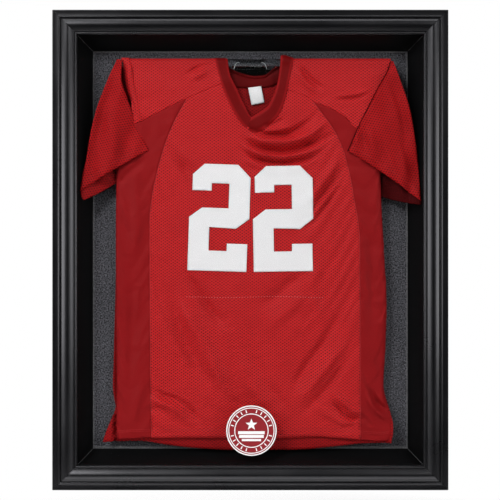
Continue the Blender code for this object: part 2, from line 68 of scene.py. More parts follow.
# All shape numbers below are millimetres; meshes are made in metres.
# "Depth" is the distance in front of the wall, and "inset" the distance in from the door's outer edge.
MM = 0.001
HALF_WIDTH = 1000.0 * CAD_BOX[1].x
HALF_HEIGHT = 1000.0 * CAD_BOX[1].z
CASE_FRONT = -1000.0 * CAD_BOX[0].y
FELT_DEPTH = -1000.0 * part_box("backing_panel")[0].y
ROD_LOW, ROD_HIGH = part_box("display_rod")
ROD_RADIUS = 500.0 * (ROD_HIGH.z - ROD_LOW.z)
ROD_HEIGHT = 500.0 * (ROD_HIGH.z + ROD_LOW.z)
ROD_DEPTH = -500.0 * (ROD_HIGH.y + ROD_LOW.y)
ROD_END = 1000.0 * ROD_HIGH.x
SIDES = ("left", "right", "top", "bottom")
FULL_TURN = 2.0 * math.pi

# Pitches of the cloth's weaves, in metres.
PORE_ACROSS, PORE_DOWN = 0.0089, 0.0064
THREAD_PITCH = 0.00125
KNIT_RIB, KNIT_COURSE = 0.0017, 0.0013
TWILL_PITCH = 0.0014

# Sewing, in millimetres.
CLOTH_THICKNESS = 0.9
COLLAR_THICKNESS = 1.2
LABEL_THICKNESS = 0.4
HEM_ROWS = (17.0, 20.5)
# Pitch, length and thread radius of a row of stitches.
PLAIN_SEWING, TACK_SEWING, BORDER_SEWING = (3.2, 2.3, 0.34), (6.1, 2.2, 0.6), (1.25, 1.1, 0.62)

# The fine gap at each mitre, and the angle in degrees past which an edge reads as sharp.
MITRE_GAP = 0.12
SHARP_ANGLE, CLOTH_SHARP_ANGLE = 38.0, 75.0

# Corners of a rectangle, as shares of its half width and half height.
CORNERS = ((-1.0, -1.0), (1.0, -1.0), (1.0, 1.0), (-1.0, 1.0))

FLOOR_HEIGHT = -0.80
FLOOR_RADIUS = 1.4


# Curves and small numeric helpers


def through(knots):
    """A smooth function through (input, output) knots, level past its ends, never overshooting."""
    at, out = np.array(sorted(knots), float).T
    step = np.diff(at)
    slope = np.diff(out) / step
    product = slope[:-1] * slope[1:]
    total = np.where(product > 0.0, slope[:-1] + slope[1:], 1.0)
    inner = np.where(product > 0.0, 2.0 * product / total, 0.0)
    tangent = np.concatenate([slope[:1], inner, slope[-1:]])

    def value(x):
        x = np.clip(x, at[0], at[-1])
        i = np.clip(np.searchsorted(at, x, side="right") - 1, 0, len(step) - 1)
        t = (x - at[i]) / step[i]
        start = out[i] * (1.0 + 2.0 * t) * (1.0 - t) ** 2 + tangent[i] * step[i] * t * (1.0 - t) ** 2
        end = out[i + 1] * t * t * (3.0 - 2.0 * t) + tangent[i + 1] * step[i] * t * t * (t - 1.0)
        return start + end

    return value


def path(points, count):
    """count points, evenly spaced in chord length, on a smooth curve through the given points."""
    points = np.array(points, float)
    along = np.concatenate([[0.0], np.cumsum(np.linalg.norm(np.diff(points, axis=0), axis=1))])
    axes = [through(list(zip(along, column))) for column in points.T]
    at = np.linspace(0.0, along[-1], count)
    return np.stack([axis(at) for axis in axes], axis=1)


def ease(low, high, x):
    """Rises smoothly from 0 at low to 1 at high."""
    t = np.clip((np.asarray(x, float) - low) / (high - low), 0.0, 1.0)
    return t * t * (3.0 - 2.0 * t)


def waves(x, z, seed, size, count=9):
    """A smooth pseudo-random field of about unit height, with features of about the given size."""
    dice = np.random.default_rng(seed)
    total = np.zeros(np.broadcast(x, z).shape)
    for _ in range(count):
        angle, phase = dice.uniform(0.0, FULL_TURN, 2)
        length = size * dice.uniform(0.7, 1.8)
        total += np.sin(FULL_TURN * (x * math.cos(angle) + z * math.sin(angle)) / length + phase)
    return total / math.sqrt(count)


def nearness(gap, reach):
    """1 at an edge, falling evenly to 0 at a gap of reach."""
    return np.clip(1.0 - gap / reach, 0.0, 1.0)


def between(first, second, share):
    """Points part of the way from one line of points to another, as x and height."""
    x = first[:, :1] * (1.0 - share) + second[:, :1] * share
    z = first[:, 1:] * (1.0 - share) + second[:, 1:] * share
    return x, z


def circle(radius, sides=96):
    """Points round a circle about the origin."""
    turns = np.linspace(0.0, FULL_TURN, sides, endpoint=False)
    return [(radius * math.cos(t), radius * math.sin(t)) for t in turns]


# Materials


class Paint:
    """A material on one Principled shader, and the nodes that feed it."""

    def __init__(self, name, **settings):
        self.material = bpy.data.materials.new(name)
        self.material.use_nodes = True
        self.tree = self.material.node_tree
        self.shader = next(n for n in self.tree.nodes if n.type == "BSDF_PRINCIPLED")
        self.output = next(n for n in self.tree.nodes if n.type == "OUTPUT_MATERIAL")
        for socket, value in settings.items():
            self.shader.inputs[socket.replace("_", " ")].default_value = value

    def feed(self, socket, value):
        """Sets a socket to a plain value, or links it to another node's output."""
        if isinstance(value, bpy.types.NodeSocket):
            self.tree.links.new(value, socket)
        else:
            socket.default_value = value

    def node(self, kind, inputs, result=0, **settings):
        """One output of a new shader node."""
        made = self.tree.nodes.new("ShaderNode" + kind)
        for name, value in settings.items():
            setattr(made, name, value)
        for name, value in inputs.items():
            self.feed(made.inputs[name], value)
        return made.outputs[result]

    def place(self, flat=False, scale=(1.0, 1.0, 1.0), turn=0.0):
        """Position on the object in metres, or on the cloth before it was hung, scaled per axis."""
        if flat:
            source = self.node("UVMap", {}, uv_map="flat")
        else:
            source = self.node("TexCoord", {}, "Object")
        if turn == 0.0 and scale == (1.0, 1.0, 1.0):
            return source
        return self.node("Mapping", {"Vector": source, "Rotation": (0.0, 0.0, turn), "Scale": scale})

    def noise(self, where, scale, detail=3.0, roughness=0.5):
        inputs = {"Vector": where, "Scale": scale, "Detail": detail, "Roughness": roughness}
        return self.node("TexNoise", inputs)

    def axes(self, where):
        """The separate coordinates of a position."""
        split = self.tree.nodes.new("ShaderNodeSeparateXYZ")
        self.feed(split.inputs[0], where)
        return split.outputs

    def ribs(self, along, pitch, wave="SINE"):
        """A wave between -1 and 1 that repeats every pitch metres."""
        return self.maths(wave, self.maths("MULTIPLY", along, FULL_TURN / pitch))

    def maths(self, operation, *values):
        made = self.tree.nodes.new("ShaderNodeMath")
        made.operation = operation
        for i, value in enumerate(values):
            self.feed(made.inputs[i], value)
        return made.outputs[0]

    def spread(self, value, low, high, to_low, to_high):
        """A value's range from low to high, stretched to another range and held within it."""
        inputs = {"Value": value, "From Min": low, "From Max": high, "To Min": to_low, "To Max": to_high}
        return self.node("MapRange", inputs)

    def mix(self, share, first, second):
        """A colour between two, by share."""
        made = self.tree.nodes.new("ShaderNodeMix")
        made.data_type = "RGBA"
        self.feed(made.inputs[0], share)
        self.feed(made.inputs[6], first)
        self.feed(made.inputs[7], second)
        return made.outputs[2]

    def colour(self, value):
        self.feed(self.shader.inputs["Base Color"], value)

    def rough(self, value, low, high, smooth=0.3, coarse=0.7):
        """Roughness from low to high as the given value goes from smooth to coarse."""
        self.feed(self.shader.inputs["Roughness"], self.spread(value, smooth, coarse, low, high))

    def bump(self, height, distance, under=None):
        inputs = {"Height": height, "Distance": distance, "Strength": 1.0}
        if under is not None:
            inputs["Normal"] = under
        result = self.node("Bump", inputs)
        self.feed(self.shader.inputs["Normal"], result)
        return result


def rgb(red, green, blue):
    return (red, green, blue, 1.0)


SHEEN_RED = rgb(1.0, 0.12, 0.12)


def lacquer_look(name, gloss, dullest, coat):
    """Black lacquer: faint orange peel, dulled patches, edges rubbed a little lighter."""
    paint = Paint(name, Coat_Weight=coat, Coat_Roughness=0.18, Specular_IOR_Level=gloss)
    paint.shader.inputs["Specular Tint"].default_value = rgb(0.95, 0.94, 1.0)
    here = paint.place()
    patches = paint.noise(here, 9.0, 4.0)
    peel = paint.noise(here, 620.0, 2.0)
    edge = paint.node("NewGeometry", {}, "Pointiness")
    worn = paint.maths("MULTIPLY", paint.spread(edge, 0.53, 0.62, 0.0, 1.0), paint.noise(here, 60.0))
    base = paint.mix(patches, rgb(0.0016, 0.0016, 0.0020), rgb(0.0030, 0.0030, 0.0035))
    paint.colour(paint.mix(worn, base, rgb(0.030, 0.030, 0.032)))
    paint.rough(patches, dullest - 0.06, dullest)
    paint.bump(peel, 0.000015)
    return paint.material


def plain_look(name, low, high, cloud, grain, rough, relief, along=(1.0, 1.0, 1.0), **settings):
    """A hard surface with a cloudy colour and a fine grain, each given as a noise scale and detail."""
    paint = Paint(name, **settings)
    tone = paint.noise(paint.place(), *cloud)
    fine = paint.noise(paint.place(scale=along), *grain)
    paint.colour(paint.mix(tone, low, high))
    paint.rough(fine, *rough)
    paint.bump(fine, relief)
    return paint.material


def felt_look(name, dark, light):
    """Pressed wool felt: mottled fibres in two greys with a soft nap."""
    paint = Paint(name, Sheen_Weight=0.08, Sheen_Roughness=0.5, Specular_IOR_Level=0.2)
    here = paint.place()
    clumps = paint.noise(here, 330.0, 3.0, 0.7)
    fibres = paint.noise(paint.place(scale=(1.0, 1.0, 0.55)), 1500.0, 2.0)
    cloud = paint.noise(here, 12.0, 3.0)
    fleck = paint.spread(paint.maths("MULTIPLY_ADD", cloud, 0.04, clumps), 0.42, 0.70, 0.0, 1.0)
    paint.colour(paint.mix(fleck, dark, light))
    paint.rough(fibres, 0.86, 0.98)
    paint.bump(paint.maths("ADD", clumps, fibres), 0.0005)
    return paint.material


def board_look():
    """Raw hardboard: brown pressed fibres with paler strands."""
    paint = Paint("raw hardboard", Specular_IOR_Level=0.3)
    here = paint.place()
    strands = paint.noise(paint.place(scale=(0.35, 1.0, 1.0)), 700.0, 5.0, 0.7)
    cloud = paint.noise(here, 7.0, 4.0)
    fleck = paint.noise(paint.place(scale=(0.6, 1.0, 1.0)), 95.0, 4.0, 0.75)
    tone = paint.mix(cloud, rgb(0.120, 0.062, 0.030), rgb(0.235, 0.135, 0.070))
    tone = paint.mix(paint.spread(fleck, 0.46, 0.66, 0.0, 0.75), tone, rgb(0.30, 0.19, 0.105))
    paint.colour(paint.mix(paint.spread(strands, 0.5, 0.72, 0.0, 0.7), tone, rgb(0.38, 0.26, 0.16)))
    paint.rough(cloud, 0.55, 0.72)
    paint.bump(strands, 0.00025)
    return paint.material


def clear_look(name, haze):
    """Clear acrylic that lets light pass straight through and mirrors a little more when seen aslant."""
    paint = Paint(name)
    tree = paint.tree
    tree.nodes.remove(paint.shader)
    smudge = paint.noise(paint.place(), 18.0, 4.0)
    gloss = tree.nodes.new("ShaderNodeBsdfGlossy")
    paint.feed(gloss.inputs["Roughness"], paint.spread(smudge, 0.35, 0.75, 0.015, 0.06))
    through_it = tree.nodes.new("ShaderNodeBsdfTransparent")
    through_it.inputs["Color"].default_value = haze
    aslant = paint.maths("POWER", paint.node("LayerWeight", {"Blend": 0.5}, "Facing"), 5.0)
    share = paint.maths("MULTIPLY_ADD", aslant, 0.9, 0.035)
    blend = tree.nodes.new("ShaderNodeMixShader")
    paint.feed(blend.inputs[0], share)
    paint.feed(blend.inputs[1], through_it.outputs[0])
    paint.feed(blend.inputs[2], gloss.outputs[0])
    paint.feed(paint.output.inputs["Surface"], blend.outputs[0])
    return paint.material


def solid_acrylic_look():
    """Solid clear acrylic for the rod and its cradle, with faint polishing marks."""
    paint = Paint("solid clear acrylic", IOR=1.49, Transmission_Weight=1.0)
    marks = paint.noise(paint.place(scale=(0.05, 1.0, 1.0)), 400.0)
    paint.colour(paint.mix(marks, rgb(0.90, 0.93, 0.94), rgb(0.97, 0.98, 0.98)))
    paint.rough(marks, 0.01, 0.05)
    return paint.material


def metal_look(name, low, high, roughness, along=(1.0, 1.0, 1.0)):
    """Plated steel with fine drawing marks and a cloudy plate."""
    rough = (roughness, roughness + 0.16)
    return plain_look(name, low, high, (90.0, 4.0), (1400.0, 2.0), rough, 0.00003, along, Metallic=1.0)


def mesh_look(name, bright, deep, hole, gloss=0.16, sheen=0.05):
    """Knitted mesh: small holes in a staggered diamond lattice between soft raised threads."""
    paint = Paint(name, Sheen_Weight=sheen, Sheen_Roughness=0.45, Specular_IOR_Level=gloss)
    paint.shader.inputs["Sheen Tint"].default_value = SHEEN_RED
    flat = paint.place(flat=True)
    split = paint.axes(flat)
    wander = paint.noise(flat, 260.0, 2.0)
    across = paint.ribs(split[0], PORE_ACROSS, "COSINE")
    down = paint.ribs(split[1], PORE_DOWN, "COSINE")
    lattice = paint.maths("MULTIPLY_ADD", across, down, paint.spread(wander, 0.2, 0.8, -0.12, 0.12))
    pores = paint.spread(lattice, 0.20, 0.66, 0.0, 1.0)
    rib = paint.ribs(split[0], THREAD_PITCH)
    threads = paint.mix(paint.noise(flat, 16.0, 4.0), deep, bright)
    threads = paint.mix(paint.spread(rib, -1.0, 1.0, 0.0, 0.16), threads, deep)
    paint.colour(paint.mix(paint.maths("MULTIPLY", pores, hole), threads, rgb(0.055, 0.004, 0.006)))
    paint.rough(wander, 0.50, 0.66)
    fine = paint.bump(paint.spread(rib, -1.0, 1.0, 0.0, 1.0), 0.00012)
    paint.bump(paint.maths("SUBTRACT", 1.0, pores), 0.00045, fine)
    return paint.material


def knit_look(name, bright, deep, band=None, edge=None):
    """Close smooth knit with a fine rib; a band of the given width gets a painted highlight along its two
    rolled edges.
    """
    paint = Paint(name, Sheen_Weight=0.02, Sheen_Roughness=0.4, Specular_IOR_Level=0.07)
    paint.shader.inputs["Sheen Tint"].default_value = SHEEN_RED
    flat = paint.place(flat=True)
    split = paint.axes(flat)
    rib = paint.ribs(split[0], KNIT_RIB)
    course = paint.ribs(split[1], KNIT_COURSE)
    tone = paint.mix(paint.noise(flat, 18.0, 4.0), deep, bright)
    # The band's paler edge colour is a painted highlight on its rolled edges.
    if band is not None:
        off = paint.maths("ABSOLUTE", paint.maths("SUBTRACT", split[0], 0.5 * band))
        tone = paint.mix(paint.spread(off, 0.26 * band, 0.47 * band, 0.0, 1.0), tone, edge)
    paint.colour(paint.mix(paint.spread(rib, -1.0, 1.0, 0.0, 0.22), tone, deep))
    paint.rough(paint.noise(flat, 900.0, 2.0), 0.48, 0.62)
    weave = paint.maths("ADD", rib, paint.maths("MULTIPLY", course, 0.5))
    paint.bump(paint.spread(weave, -1.5, 1.5, 0.0, 1.0), 0.00016)
    return paint.material


def twill_look(name, bright, deep):
    """Tackle twill: a fine diagonal weave with a dull gloss."""
    paint = Paint(name, Sheen_Weight=0.1, Specular_IOR_Level=0.4)
    flat = paint.place(flat=True)
    split = paint.axes(flat)
    line = paint.ribs(paint.maths("ADD", split[0], split[1]), TWILL_PITCH)
    paint.colour(paint.mix(paint.noise(flat, 24.0, 4.0), deep, bright))
    paint.rough(line, 0.46, 0.60, -1.0, 1.0)
    paint.bump(paint.spread(line, -1.0, 1.0, 0.0, 1.0), 0.000012)
    return paint.material


def print_look(name, low, high):
    """Screen-printed ink with a faint stipple."""
    rough = (0.32, 0.46)
    return plain_look(name, low, high, (40.0, 3.0), (1100.0, 2.0), rough, 0.00003, Specular_IOR_Level=0.5)


LACQUER = lacquer_look("black satin lacquer", 0.60, 0.33, 0.10)
BOX_PAINT = lacquer_look("black matt paint", 0.22, 0.62, 0.0)
LINER = plain_look(
    "black liner board", rgb(0.0020, 0.0020, 0.0023), rgb(0.0034, 0.0034, 0.0038),
    (14.0, 4.0), (900.0, 2.0), (0.42, 0.56), 0.00004, Specular_IOR_Level=0.10,
)
FELT = felt_look("charcoal felt", rgb(0.012, 0.012, 0.014), rgb(0.228, 0.226, 0.256))
LIP_FELT = felt_look("grey felt edge", rgb(0.09, 0.09, 0.095), rgb(0.24, 0.24, 0.25))
BOARD = board_look()
PANE = clear_look("clear acrylic sheet", rgb(0.985, 0.988, 0.988))
CLEAR = solid_acrylic_look()
# Pale strips on the clear cradle's slanted edges: painted glints standing in for light caught by the polished
# edges.
PAINTED_GLINT = print_look("painted glint on cradle edges", rgb(0.42, 0.45, 0.46), rgb(0.55, 0.58, 0.59))
ZINC = metal_look("bright zinc", rgb(0.52, 0.52, 0.50), rgb(0.68, 0.68, 0.66), 0.26, (0.1, 1.0, 1.0))
NICKEL = metal_look("nickel plate", rgb(0.42, 0.42, 0.43), rgb(0.52, 0.51, 0.50), 0.20)
RUBBER = plain_look(
    "black rubber", rgb(0.018, 0.018, 0.018), rgb(0.045, 0.044, 0.042),
    (260.0, 4.0), (260.0, 4.0), (0.6, 0.8), 0.0001, Specular_IOR_Level=0.35,
)
MESH = mesh_look("red mesh", rgb(0.655, 0.0155, 0.018), rgb(0.54, 0.0115, 0.0135), 1.0)
# The sleeves' mesh is a darker copy of the body's red mesh: painted shade.
SHADED_SLEEVE_MESH = mesh_look(
    "red sleeve mesh painted darker for shade", rgb(0.52, 0.0075, 0.0095), rgb(0.34, 0.005, 0.006), 1.0, 0.09, 0.03
)
# The back panel's and left under layer's mesh is a darker copy of the red mesh: painted shade.
SHADED_MESH_INSIDE = mesh_look("red mesh inside painted darker for shade", rgb(0.40, 0.007, 0.009), rgb(0.30, 0.006, 0.007), 0.85, 0.08, 0.02)
# A near-black copy of the red mesh: painted shade, on the right sleeve's under layer and the dark line by its
# inner edge.
PAINTED_SHADE_MESH = mesh_look(
    "red mesh painted dark for shade", rgb(0.085, 0.0015, 0.002), rgb(0.045, 0.001, 0.0015), 0.85, 0.04, 0.0
)
KNIT = knit_look("dark red knit", rgb(0.31, 0.0085, 0.0105), rgb(0.26, 0.0065, 0.0085))
# The collar's paler edge colour is a painted highlight on its rolled edges.
COLLAR = knit_look(
    "collar rib", rgb(0.19, 0.0025, 0.0032), rgb(0.145, 0.002, 0.0025), 0.027, rgb(0.36, 0.008, 0.010)
)
NECK_TAPE = knit_look("neck tape", rgb(0.14, 0.002, 0.003), rgb(0.105, 0.0015, 0.002))
TWILL = twill_look("white twill", rgb(0.90, 0.90, 0.91), rgb(0.85, 0.85, 0.86))
WHITE_THREAD = twill_look("white thread", rgb(0.93, 0.93, 0.93), rgb(0.86, 0.86, 0.87))
RED_THREAD = twill_look("red thread", rgb(0.50, 0.016, 0.020), rgb(0.42, 0.012, 0.015))
PINK_THREAD = twill_look("faded thread", rgb(0.80, 0.26, 0.26), rgb(0.68, 0.14, 0.14))
LABEL = twill_look("white satin label", rgb(0.93, 0.93, 0.94), rgb(0.88, 0.88, 0.89))
WHITE_INK = print_look("white ink", rgb(0.84, 0.84, 0.84), rgb(0.90, 0.90, 0.90))
RED_INK = print_look("red ink", rgb(0.23, 0.010, 0.016), rgb(0.28, 0.014, 0.020))


# Mesh helpers


def shade(mesh, sharp):
    """Smooth shading, apart from edges sharper than some degrees."""
    mesh.shade_smooth()
    mesh.set_sharp_from_angle(angle=math.radians(sharp))


def piece(name, points, faces, look, body, stands_for="", flat=None, smooth=True, sharp=SHARP_ANGLE):
    """One named object from points in millimetres, riding on a CAD body."""
    mesh = bpy.data.meshes.new(name)
    mesh.from_pydata((np.asarray(points, float) * MM).tolist(), [], [tuple(f) for f in faces])
    if flat is not None:
        corner = np.zeros(len(mesh.loops), int)
        mesh.loops.foreach_get("vertex_index", corner)
        layer = mesh.uv_layers.new(name="flat")
        layer.data.foreach_set("uv", (np.asarray(flat, float)[corner] * MM).astype(np.float32).ravel())
    mesh.materials.append(look)
    if smooth:
        shade(mesh, sharp)
    obj = bpy.data.objects.new(name, mesh)
    bpy.context.scene.collection.objects.link(obj)
    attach(obj, body)
    if stands_for:
        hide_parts(stands_for)
    return obj


def grid_faces(rows, columns, around=False):
    """Quads of a grid of points, row by row; around joins the last column to the first."""
    faces = []
    last = columns if around else columns - 1
    for r in range(rows - 1):
        for c in range(last):
            d = (c + 1) % columns
            faces.append((r * columns + c, r * columns + d, (r + 1) * columns + d, (r + 1) * columns + c))
    return faces


def capped(rings):
    """Points and faces of closed rings skinned one to the next, both ends filled."""
    count, sides = len(rings), len(rings[0])
    faces = grid_faces(count, sides, around=True)
    faces.append(tuple(range(sides))[::-1])
    faces.append(tuple((count - 1) * sides + i for i in range(sides)))
    return [p for ring in rings for p in ring], faces


def outward(obj):
    """Turns every face of a closed mesh outward."""
    work = bmesh.new()
    work.from_mesh(obj.data)
    bmesh.ops.recalc_face_normals(work, faces=work.faces)
    work.to_mesh(obj.data)
    work.free()
    return obj


def arc(centre, radius, start, end, steps):
    """Points along part of a circle, from one angle in degrees to another."""
    turns = np.radians(np.linspace(start, end, steps + 1))
    return [(centre[0] + radius * math.cos(t), centre[1] + radius * math.sin(t)) for t in turns]


def block(low, high):
    """A box between two corners in metres, as a mesh still being worked on."""
    work = bmesh.new()
    bmesh.ops.create_cube(work, size=1.0)
    size, middle = Vector(high) - Vector(low), 0.5 * (Vector(high) + Vector(low))
    bmesh.ops.transform(work, matrix=Matrix.LocRotScale(middle, None, size), verts=work.verts)
    return work


def box_cut(target, low, high):
    """Takes a box, given in metres, out of a mesh."""
    mesh = bpy.data.meshes.new("pocket")
    obj = bpy.data.objects.new("pocket", mesh)
    bpy.context.scene.collection.objects.link(obj)
    work = block(low, high)
    work.to_mesh(mesh)
    work.free()
    cutter = target.modifiers.new("pocket", "BOOLEAN")
    cutter.operation, cutter.object, cutter.solver = "DIFFERENCE", obj, "EXACT"
    apply_modifiers(target)
    bpy.data.objects.remove(obj)


def apply_modifiers(obj):
    """Writes the evaluated shape into the object's own mesh."""
    graph = bpy.context.evaluated_depsgraph_get()
    made = bpy.data.meshes.new_from_object(obj.evaluated_get(graph), depsgraph=graph)
    old, obj.data = obj.data, made
    obj.modifiers.clear()
    bpy.data.meshes.remove(old)


def rail_point(side, inset, depth, share):
    """A point of one of four mitred rails; share runs from -1 to 1 between the mitres."""
    across, up = HALF_WIDTH - inset, HALF_HEIGHT - inset
    if side in ("left", "right"):
        sign = -1.0 if side == "left" else 1.0
        return (sign * across, -depth, share * up)
    sign = 1.0 if side == "top" else -1.0
    return (share * across, -depth, sign * up)


def rail(node, side, profile, look, body, chamfer=0.45):
    """A mitred rail in a CAD rail's place, chamfered at its mitres so that each joint reads as a hairline."""
    profile = np.array(profile, float)
    following = np.roll(profile, -1, axis=0) - profile
    before = profile - np.roll(profile, 1, axis=0)
    tangent = following / np.linalg.norm(following, axis=1)[:, None]
    tangent += before / np.linalg.norm(before, axis=1)[:, None]
    tangent /= np.maximum(np.linalg.norm(tangent, axis=1)[:, None], 0.3)
    area = np.sum(profile[:, 0] * np.roll(profile[:, 1], -1) - profile[:, 1] * np.roll(profile[:, 0], -1))
    inward = np.stack([-tangent[:, 1], tangent[:, 0]], axis=1) * (1.0 if area > 0.0 else -1.0)
    length = HALF_HEIGHT if side in ("left", "right") else HALF_WIDTH
    stations = [(-1.0, MITRE_GAP, chamfer), (-1.0, MITRE_GAP + chamfer, 0.0)]
    stations += [(s, 0.0, 0.0) for s in np.linspace(-0.9, 0.9, 13)]
    stations += [(1.0, MITRE_GAP + chamfer, 0.0), (1.0, MITRE_GAP, chamfer)]
    rings = []
    for share, short, shrink in stations:
        ring = []
        for inset, depth in profile + inward * shrink:
            pull = short / length if abs(share) == 1.0 else 0.0
            ring.append(rail_point(side, inset, depth, share * (1.0 - pull)))
        rings.append(ring)
    points, faces = capped(rings)
    return outward(piece(node + "_shaped", points, faces, look, body, node))


# Case: box, slanted liner, felt panel, back board


def build_case():
    """The liner's slanted face, its thin grey felt edge at the panel, and soft edges on the plain boards."""
    low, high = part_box("liner_left")
    liner_front, liner_rear = -1000.0 * low.y, -1000.0 * high.y
    edge, toe = HALF_WIDTH + 1000.0 * low.x, HALF_WIDTH + 1000.0 * high.x
    slant_front, slant_rear = 53.5, 80.2
    toe_front = liner_rear + 1.6

    def slant(share):
        inset = slant_front + (slant_rear - slant_front) * share
        return inset, liner_front + (toe_front - liner_front) * share

    profile = [(edge, liner_front - 5.0), (edge, liner_front)]
    profile += [(slant_front - 0.8, liner_front), (slant_front - 0.2, liner_front - 0.2)]
    profile += [(slant_front + 0.2, liner_front - 0.9)]
    for share in np.arange(1, 8) / 8:
        hollow = 0.35 * math.sin(math.pi * share)
        inset, depth = slant(share)
        profile.append((inset - hollow, depth - 0.5 * hollow))
    profile += [(slant_rear, toe_front), (toe - 4.1, liner_rear)]
    start = slant_rear + 0.2
    for side in SIDES:
        rail("liner_" + side, side, profile, LINER, "case", chamfer=0.9)
        end = start + (5.2 if side == "bottom" else 3.2)
        lip = [(start, liner_rear), (start, toe_front + 0.4), (start + 0.5, toe_front + 0.9)]
        lip += [(end - 0.9, toe_front + 0.7), (end, toe_front - 0.1), (end, liner_rear)]
        build_felt_edge("liner_edge_" + side, side, lip)
    for upright, up in (("top", 1), ("bottom", -1)):
        for side, across in (("left", -1), ("right", 1)):
            line = []
            for share in np.linspace(0.02, 0.98, 9):
                inset, depth = slant(share)
                line.append((across * (HALF_WIDTH - inset), -depth - 0.1, up * (HALF_HEIGHT - inset)))
            cord_along("liner_mitre_%s_%s" % (upright, side), line, 0.4, LIP_FELT, "case")
    recolour("backing_panel", FELT)
    recolour("back_board", BOARD)
    for side in SIDES:
        soften(recolour("box_rail_" + side, BOX_PAINT), 0.0007)
    build_staples()


def build_staples():
    """Wire staples round the rim of the back board."""
    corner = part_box("back_board")[1]
    across, up = 1000.0 * corner.x - 5.0, 1000.0 * corner.z - 5.0
    for side in SIDES:
        upright = side in ("left", "right")
        sign = -1.0 if side in ("left", "bottom") else 1.0
        half = up if upright else across
        for k, middle in enumerate(np.linspace(-half + 45.0, half - 45.0, 7 if upright else 5)):
            line = []
            for along, depth in ((-5.4, 1.2), (-5.2, 0.2), (-4.4, -0.3), (4.4, -0.3), (5.2, 0.2), (5.4, 1.2)):
                spot = (sign * across, middle + along) if upright else (middle + along, sign * up)
                line.append((spot[0], -depth, spot[1]))
            cord_along("staple_%s_%d" % (side, k + 1), line, 0.5, ZINC, "case")


def build_felt_edge(name, side, profile):
    """The felt's cut edge along one side of the panel, slightly wavy as cut cloth is."""
    stations = 61
    rings = [[rail_point(side, i, d, s) for i, d in profile] for s in np.linspace(-1.0, 1.0, stations)]
    wobble = waves(np.arange(stations) * 14.0, np.zeros(stations), 7, 60.0)
    for k, ring in enumerate(rings):
        for i, rise in ((1, 0.12), (2, 0.18)):
            x, y, z = ring[i]
            ring[i] = (x, y - rise * wobble[k], z)
    points, faces = capped(rings)
    return outward(piece(name, points, faces, LIP_FELT, "case"))


def recolour(node, look):
    """Gives a CAD node a finished material on its own slots."""
    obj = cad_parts[node]
    if not obj.material_slots:
        obj.data.materials.append(look)
    for place in obj.material_slots:
        place.link = "OBJECT"
        place.material = look
    return obj


def soften(obj, width, segments=2):
    """Breaks the sharp edges of a piece."""
    bevel = obj.modifiers.new("soft edges", "BEVEL")
    bevel.width, bevel.segments = width, segments
    bevel.limit_method, bevel.angle_limit = "ANGLE", math.radians(50.0)
    return obj


# Door: moulding, pane, stops, emblem


def moulding():
    """The door's section: outer flat, bead, broad cushion, small bead, groove and inner bead."""
    rear = -1000.0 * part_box("door_rail_left")[1].y
    start, peak, end = 18.9, 33.6, 45.6
    start_depth, end_depth = 75.4, 77.0
    points = [(0.0, rear + 0.5), (0.0, rear + 6.0)]
    points += arc((1.2, 73.8), 1.2, 180.0, 90.0, 5)
    points += [(2.6, 74.9), (3.6, 74.8), (5.0, 74.6), (8.6, 74.5), (11.2, 74.5), (12.1, 74.6)]
    points += arc((15.2, 74.9), 2.9, 172.0, 12.0, 12)
    points += [(18.2, 75.0), (18.6, 75.0)]
    for i in range(17):
        turn = 0.5 * math.pi * i / 16
        rise = start_depth + (CASE_FRONT - start_depth) * math.sin(turn)
        points.append((peak - (peak - start) * math.cos(turn), rise))
    for i in range(1, 17):
        fall = 1.0 - (i / 16) ** 1.4
        points.append((peak + (end - peak) * i / 16, end_depth + (CASE_FRONT - end_depth) * fall))
    points += arc((46.9, 77.0), 1.1, 165.0, 10.0, 8)
    points += [(48.4, 76.6), (49.2, 76.4)]
    points += arc((51.7, 76.6), 2.3, 170.0, 0.0, 12)
    points += [(54.0, 74.0), (54.0, rear + 8.0), (44.0, rear + 8.0), (44.0, rear), (0.5, rear)]
    return points


def build_door():
    """Four moulded rails with pockets for the hinge leaves and strikes, the pane, its stops and the badge."""
    profile = moulding()
    rails = {s: rail("door_rail_" + s, s, profile, LACQUER, "door") for s in SIDES}
    clear, pocket_front = 0.0003, -0.050
    for place in ("upper", "lower"):
        low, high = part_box("hinge_" + place + "_door_leaf")
        start = (low.x - 3 * clear, low.y - clear, low.z - clear)
        box_cut(rails["left"], start, (high.x + clear, pocket_front, high.z + clear))
        low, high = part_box("catch_strike_" + place)
        start = (low.x - clear, low.y - clear, low.z - clear)
        box_cut(rails["right"], start, (high.x + clear, pocket_front, high.z + clear))
    for side in ("left", "right"):
        shade(rails[side].data, SHARP_ANGLE)
    build_pane()
    for side in SIDES:
        soften(recolour("pane_stop_" + side, LACQUER), 0.0005)
    build_emblem()


def build_pane():
    """The clear sheet, with its edges just broken."""
    work = block(*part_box("acrylic_pane"))
    bmesh.ops.bevel(work, geom=work.edges[:], offset=0.0002, segments=1, affect="EDGES")
    points = [v.co / MM for v in work.verts]
    faces = [[v.index for v in f.verts] for f in work.faces]
    work.free()
    pane = piece("acrylic_pane_clear", points, faces, PANE, "door", smooth=False)
    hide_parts("acrylic_pane")


def printed_ring(name, centre, inner, outer, depth, thick, look):
    """A flat printed ring."""
    near, far = circle(inner), circle(outer)
    rings = []
    for loop, level in ((near, depth), (near, depth + thick), (far, depth + thick), (far, depth)):
        rings.append([(centre[0] + x, -level, centre[1] + z) for x, z in loop])
    points = [p for ring in rings for p in ring]
    sides = len(near)
    faces = grid_faces(4, sides, around=True)
    faces += [(3 * sides + i, 3 * sides + (i + 1) % sides, (i + 1) % sides, i) for i in range(sides)]
    return outward(piece(name, points, faces, look, "door", sharp=30.0))


def printed_shape(name, centre, outline, depth, thick, look):
    """A flat printed shape from its outline."""
    rings = [[(centre[0] + x, -level, centre[1] + z) for x, z in outline] for level in (depth, depth + thick)]
    points, faces = capped(rings)
    return outward(piece(name, points, faces, look, "door", smooth=False))


